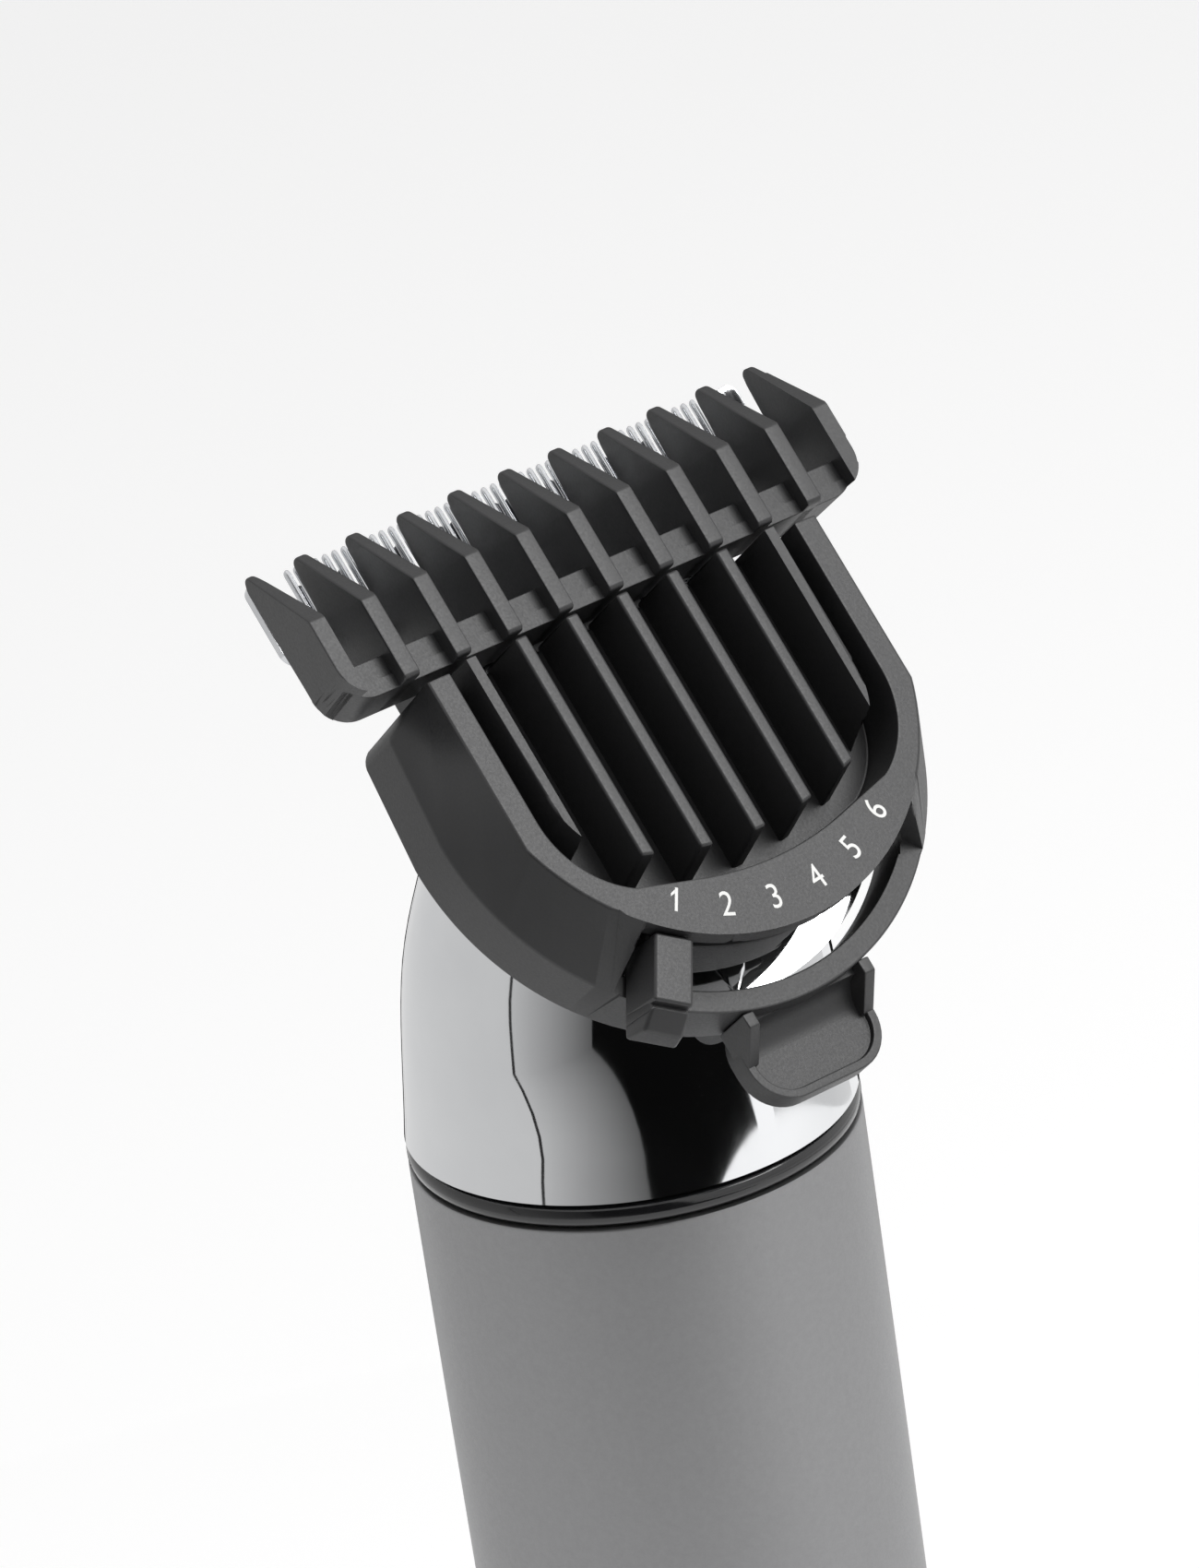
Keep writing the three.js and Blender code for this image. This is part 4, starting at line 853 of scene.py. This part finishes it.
# %% Chrome head
def eased_line(points, steps):
    """Points on a smooth line through the given ones."""
    points = [Vector(p) for p in points]
    ends = [2 * points[0] - points[1], *points, 2 * points[-1] - points[-2]]
    found = []
    for a, b, c, d in zip(ends, ends[1:], ends[2:], ends[3:]):
        for i in range(steps):
            t = i / steps
            found.append((2 * b + (c - a) * t + (2 * a - 5 * b + 4 * c - d) * t * t
                          + (3 * b - a - 3 * c + d) * t ** 3) / 2)
    return found + [points[-1]]


def neck(name, inset, low, high, sides=144):
    top = HEAD_SECTIONS[-1][0]
    rings = []
    for z, half, back in eased_line(HEAD_SECTIONS, 8):
        circle = arc(0, 0, 1, 0, 360 - 360 / sides, sides - 1)
        rings.append([(x * (half - inset), y * ((back if y > 0 else BODY_RADIUS) - inset),
                       low + (high - low) * z / top) for x, y in circle])
    return loft(name, rings)


def on_neck(piece):
    piece.data.transform(HEAD_ON_NECK)
    return piece


def head_shell():
    above = on_neck(block("above", (-40, 40), (-60, 60), (HEAD_FACE, 40)))
    outer = combine(neck("chrome_head", 0, GAP / 2, HEAD_SECTIONS[-1][0]), "DIFFERENCE", above)
    flange = on_neck(prism("flange", rim_outline(FLANGE_INSET), HEAD_FACE - FLANGE_THICK, HEAD_FACE))
    inner_top = on_neck(block("inner_top", (-40, 40), (-60, 60), (HEAD_FACE - HEAD_WALL, 40)))
    inner = combine(neck("inner", HEAD_WALL, -1, HEAD_SECTIONS[-1][0] - HEAD_WALL, 72), "DIFFERENCE",
                    inner_top)
    window = on_neck(block("window", (-WINDOW_HALF, WINDOW_HALF), (WINDOW_LOW, 30), (WINDOW_DEPTH, 10)))
    seat = on_neck(block("seat", (-SEAT_HALF - GAP, SEAT_HALF + GAP), (SEAT_LOW - GAP, 30),
                         (SEAT_BACK - GAP, 10)))
    combine(outer, "UNION", flange)
    combine(outer, "DIFFERENCE", inner, window, seat)
    return smooth(outer, 30)


hand_in(head_shell(), NECK, "handle", "chrome", "head_shell")

# %% [markdown]
# ## Handle
# The sleeve is a drawn tube that tapers very slightly to its foot, with a round hole for the
# button and a small one for the charge light. The collar ring is a gloss bead between the sleeve
# and the chrome. The cap below is moulded, with a soft lower edge.

# %% Handle sizes
FOOT_RADIUS, SLEEVE_WALL, CAP_HEIGHT, CAP_PLUG = 13.7, 1.1, 7, 5
CAP_ROUND, CAP_FLOOR, PLUG_WALL, CAP_SCREW_X, CAP_SCREW_Y, SCREW_HOLE = 2, 2.4, 1.4, 8, 1, 1.5
INLET_HALF, INLET_LOW, INLET_HIGH = 4.8, 5.1, 8.9
COLLAR_HEIGHT, COLLAR_BEAD, COLLAR_WALL = 1.5, 0.42, 1.2
STEM_RADIUS, BUTTON_THICK, BUTTON_ROUND, DISH_RADIUS, DISH_DEPTH = 1.3, 0.8, 0.45, 4.2, 0.35
ROUND_STEPS = 160          # sides of the large turned pieces
BUTTON_Z, BUTTON_RADIUS, BUTTON_PROUD, LIGHT_Z, LIGHT_RADIUS = 80, 5, 0.6, 68, 0.9
SLEEVE_LOW, SLEEVE_HIGH = CAP_HEIGHT + GAP, BODY_LENGTH - COLLAR_HEIGHT - GAP / 2


# %% Handle
def sleeve_radius(z):
    rise = (z - SLEEVE_LOW) / (SLEEVE_HIGH - SLEEVE_LOW)
    return FOOT_RADIUS + (BODY_RADIUS - FOOT_RADIUS) * math.sin(rise * math.pi / 2)


def towards_front(piece, z):
    """Turns a piece that stands on z = 0 so that it points out of the front, at height z."""
    piece.data.transform(Matrix.Translation((0, 0, z)) @ Matrix.Rotation(math.radians(90), 4, "X"))
    return piece


def sleeve():
    steps, edge = 24, 0.35
    heights = [SLEEVE_LOW + (SLEEVE_HIGH - SLEEVE_LOW) * i / steps for i in range(steps + 1)]
    outside = [(sleeve_radius(z), z) for z in heights[1:-1]]
    low = [(FOOT_RADIUS - edge, SLEEVE_LOW), (FOOT_RADIUS - 0.1, SLEEVE_LOW + 0.1),
           (FOOT_RADIUS, SLEEVE_LOW + edge)]
    high = [(BODY_RADIUS, SLEEVE_HIGH - 0.15), (BODY_RADIUS - 0.05, SLEEVE_HIGH - 0.04),
            (BODY_RADIUS - 0.18, SLEEVE_HIGH)]
    inside = [(sleeve_radius(z) - SLEEVE_WALL, z) for z in heights[::-4]]
    shell = turned("sleeve_blasted", low + outside + high + inside, ROUND_STEPS)
    combine(shell, "DIFFERENCE",
            towards_front(rod("hole", BUTTON_RADIUS + GAP, 5, BODY_RADIUS + 2), BUTTON_Z),
            towards_front(rod("hole", LIGHT_RADIUS + GAP / 2, 5, BODY_RADIUS + 2, steps=24), LIGHT_Z))
    return smooth(shell, 25)


def collar():
    low, high = BODY_LENGTH - COLLAR_HEIGHT, COLLAR_TOP
    middle, half = (low + high) / 2, (high - low) / 2
    bead = [(BODY_RADIUS - COLLAR_BEAD + COLLAR_BEAD * math.cos(math.asin(t)), middle + half * t)
            for t in [i / 8 for i in range(-8, 9)]]
    inner = BODY_RADIUS - COLLAR_WALL
    return smooth(turned("collar_bead", [(inner, low)] + bead + [(inner, high)], ROUND_STEPS), 60)


def base_cap():
    foot, plug, round_by = FOOT_RADIUS, FOOT_RADIUS - SLEEVE_WALL - GAP, CAP_ROUND
    edge = arc(foot - round_by, round_by, round_by, -90, 0, 10)
    shell = turned("end_cap", [(0, 0)] + edge + [
        (foot, CAP_HEIGHT - 0.2), (foot - 0.2, CAP_HEIGHT), (plug, CAP_HEIGHT),
        (plug, CAP_HEIGHT + CAP_PLUG), (plug - PLUG_WALL, CAP_HEIGHT + CAP_PLUG),
        (plug - PLUG_WALL, CAP_FLOOR), (0, CAP_FLOOR)], ROUND_STEPS)
    inlet = block("inlet", (-INLET_HALF, INLET_HALF), (INLET_LOW, INLET_HIGH), (-1, 4))
    holes = [rod("hole", SCREW_HOLE, -1, 4, side * CAP_SCREW_X, CAP_SCREW_Y) for side in (-1, 1)]
    return smooth(combine(shell, "DIFFERENCE", inlet, *holes), 30)


def button():
    """A dished cap that stands out of the sleeve, and the stem that reaches the switch."""
    front = sleeve_radius(BUTTON_Z) + BUTTON_PROUD
    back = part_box("power_button")[1].y / MM
    dish = [(r, front - DISH_DEPTH * (1 - (r / DISH_RADIUS) ** 2))
            for r in (0, 0.8, 1.6, 2.4, 3.2, 3.8, DISH_RADIUS)]
    rim = arc(BUTTON_RADIUS - BUTTON_ROUND, front - BUTTON_ROUND, BUTTON_ROUND, 80, 0, 8)
    under = -back + BUTTON_THICK
    shape = turned("power_button_cap", dish + rim + [(BUTTON_RADIUS, under), (STEM_RADIUS, under),
                                                     (STEM_RADIUS, -back), (0, -back)], 96)
    return smooth(towards_front(shape, BUTTON_Z), 35)


hand_in(sleeve(), BODY, "handle", "satin_metal", "sleeve")
hand_in(collar(), BODY, "handle", "black_gloss", "collar_ring")
hand_in(base_cap(), BODY, "handle", "black_plastic", "base_cap")
hand_in(button(), BODY, "power_button", "black_plastic", "power_button")

# %% [markdown]
# ## What stays as packed
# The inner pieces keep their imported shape. Each gets its finish, its doubles welded and a small
# bevel, so that its edges catch light when the guard or the sleeve is off.

# %% Inner pieces
WELD_WITHIN, INNER_BEVEL, INNER_ANGLE = 0.002, 0.08, 35
INNER = {
    "steel": ("charge_socket", "base_screw_left", "base_screw_right", "motor_can", "motor_shaft",
              "motor_screw_left", "motor_screw_right", "arm_pivot_pin", "cutter_spring",
              "blade_screw_left", "blade_screw_right", "dial_retainer"),
    "black_plastic": ("chassis", "head_frame", "blade_carrier"),
    "white_plastic": ("tact_switch", "motor_mount", "drive_arm", "cutter_driver"),
    "brass": ("battery_contact_lower", "battery_contact_upper", "crank"),
    "cell_wrap": ("battery_cell",),
    "board": ("circuit_board",),
    "rubber": ("neck_seal",),
    "lens": ("charge_light",),
}
for finish_name, nodes in INNER.items():
    for node_name in nodes:
        node = frame["nodes"][node_name]
        node.data.materials.clear()
        node.data.materials.append(finishes[finish_name])
        weld = node.modifiers.new("weld", "WELD")
        weld.merge_threshold = WELD_WITHIN * MM
        bevel = node.modifiers.new("edges", "BEVEL")
        bevel.width = INNER_BEVEL * MM
        bevel.segments = 2
        bevel.limit_method = "ANGLE"
        bevel.angle_limit = math.radians(INNER_ANGLE)
        bevel.harden_normals = True
print("inner pieces:", sum(len(nodes) for nodes in INNER.values()))

# %% [markdown]
# ## Stage
# A pale floor, a bright even surrounding and one soft key lamp from the upper right. Chrome shows
# what stands round it, so curved cards stand about the head. From the left they are a pale one, a
# thin line, one that goes from pale to grey, a wide dark one, a thin strip, another pale one, and
# a dark one behind. Only reflections see them.

# %% Floor and cards
def emitting(name):
    """A finish that glows in the colour stored on the card's points."""
    finish = bpy.data.materials.new(name)
    finish.use_nodes = True
    tree = finish.node_tree
    tree.nodes.clear()
    shade = add(tree, "ShaderNodeAttribute", {"attribute_name": "shade"})
    glow = add(tree, "ShaderNodeEmission", Color=shade.outputs["Color"])
    add(tree, "ShaderNodeOutputMaterial", Surface=glow.outputs[0])
    return finish


def leaning_card(name, sides, shades):
    """A card on a cylinder about the body. Each side is a height and two angles from the camera."""
    form = bmesh.new()
    layer_of = form.verts.layers.float_color.new("shade")
    left, right = (Vector(linear(code)) for code in shades)
    for low, high in zip(sides, sides[1:]):
        grid = []
        for j in range(CARD_ROWS + 1):
            height, start, end = (p + (q - p) * j / CARD_ROWS for p, q in zip(low, high))
            line = []
            for i in range(CARD_STEPS + 1):
                a = math.radians(CAMERA_AZIMUTH + start + (end - start) * i / CARD_STEPS)
                vert = form.verts.new((CARD_RADIUS * math.sin(a), -CARD_RADIUS * math.cos(a), height))
                vert[layer_of] = left.lerp(right, i / CARD_STEPS)
                line.append(vert)
            grid.append(line)
        for below, above in zip(grid, grid[1:]):
            for i in range(CARD_STEPS):
                form.faces.new((below[i], below[i + 1], above[i + 1], above[i]))
    card = new_piece(name, form)
    card.data.transform(BODY)
    card.data.materials.append(glow_finish)
    card.visible_camera = card.visible_shadow = card.visible_diffuse = False
    card.visible_transmission = False


def between(left, right):
    """The sides of a card that reaches from one leaning edge to another."""
    return [(height, a, b) for (height, a), (_, b) in zip(left, right)]


CAMERA_AZIMUTH, CAMERA_ELEVATION, CAMERA_ROLL = -35.7, 22.9, -8.55
FLOOR_HALF, FLOOR_TOP = 3000, -0.05
CARD_RADIUS, CARD_STEPS, CARD_ROWS = 220, 24, 6
LINE_WIDTH = 1.4           # degrees
DARK_LEFT = ((30, 11), (52, -4), (80, -23), (300, -32))
DARK_RIGHT = ((30, 61), (52, 44), (80, 22), (300, 12))
LINE_LEFT = ((30, -24), (52, -44), (80, -62), (300, -75))
LINE_RIGHT = [(height, side + LINE_WIDTH) for height, side in LINE_LEFT]
FAR_LEFT = [(height, -165) for height, _ in LINE_LEFT]

floor = prism("floor", box_outline(-FLOOR_HALF, FLOOR_HALF, -FLOOR_HALF, FLOOR_HALF), -10, FLOOR_TOP)
floor.data.transform(BODY)
paper, _, _ = new_finish("pale_paper", Base_Color=linear("#f2f2f2"), Roughness=0.9,
                         Emission_Color=(1, 1, 1, 1), Emission_Strength=0.24)
floor.data.materials.append(paper)
glow_finish = emitting("card_glow")
for name, sides, shades in (
        ("pale_left", between(FAR_LEFT, LINE_LEFT), ("#e6e6e6", "#d4d4d4")),
        ("line", between(LINE_LEFT, LINE_RIGHT), ("#2c2c2c", "#2c2c2c")),
        ("graded", between(LINE_RIGHT, DARK_LEFT), ("#c8c8c8", "#626262")),
        ("dark_front", between(DARK_LEFT, DARK_RIGHT), ("#0b0b0b", "#0d0d0d")),
        ("strip_right", [(44, 66, 69), (60, 60, 62)], ("#303030", "#303030")),
        ("pale_right", [(30, 72, 140), (60, 61, 140)], ("#d2d2d2", "#e4e4e4")),
        ("dark_behind", [(1, 158, 202), (300, 158, 202)], ("#1c1c1c", "#1c1c1c"))):
    leaning_card("card_" + name, sides, shades)
    print("card", name)

# %% World and key lamp
world = bpy.data.worlds.new("even surround")
bpy.context.scene.world = world
world.use_nodes = True
tree = world.node_tree
tree.nodes.clear()
ray = add(tree, "ShaderNodeLightPath")
power = add(tree, "ShaderNodeMapRange", Value=ray.outputs["Is Diffuse Ray"], To_Min=1.0, To_Max=0.62)
sky = add(tree, "ShaderNodeBackground", Color=(1, 1, 1, 1), Strength=power.outputs[0])
add(tree, "ShaderNodeOutputWorld", Surface=sky.outputs[0])

lamp_data = bpy.data.lights.new("key", "AREA")
lamp_data.energy = 2.2
lamp_data.shape = "DISK"
lamp_data.size = 0.35
lamp = new_object("key", lamp_data)
lamp.location = (0.2, -0.36, 0.6)
aim = Vector((0, 0, 0.15)) - lamp.location
lamp.rotation_euler = aim.to_track_quat("-Z", "Y").to_euler()

# %% [markdown]
# ## Camera
# It looks down a little from the front left with a long lens, and is rolled so that the handle
# leans out of the upright.

# %% Camera
target = Vector((0.8, -0.6, 147.1)) * MM
distance = 526.2 * MM
azimuth, elevation = math.radians(CAMERA_AZIMUTH), math.radians(CAMERA_ELEVATION)
back = Vector((math.sin(azimuth) * math.cos(elevation), -math.cos(azimuth) * math.cos(elevation),
               math.sin(elevation)))
eye = bpy.data.cameras.new("camera")
eye.lens = 193.4
camera = new_object("camera", eye)
camera.location = target + back * distance
camera.rotation_mode = "QUATERNION"
camera.rotation_quaternion = ((-back).to_track_quat("-Z", "Y")
                              @ Quaternion((0, 0, 1), math.radians(CAMERA_ROLL)))
bpy.context.scene.camera = camera
bpy.context.scene.view_settings.view_transform = "Standard"
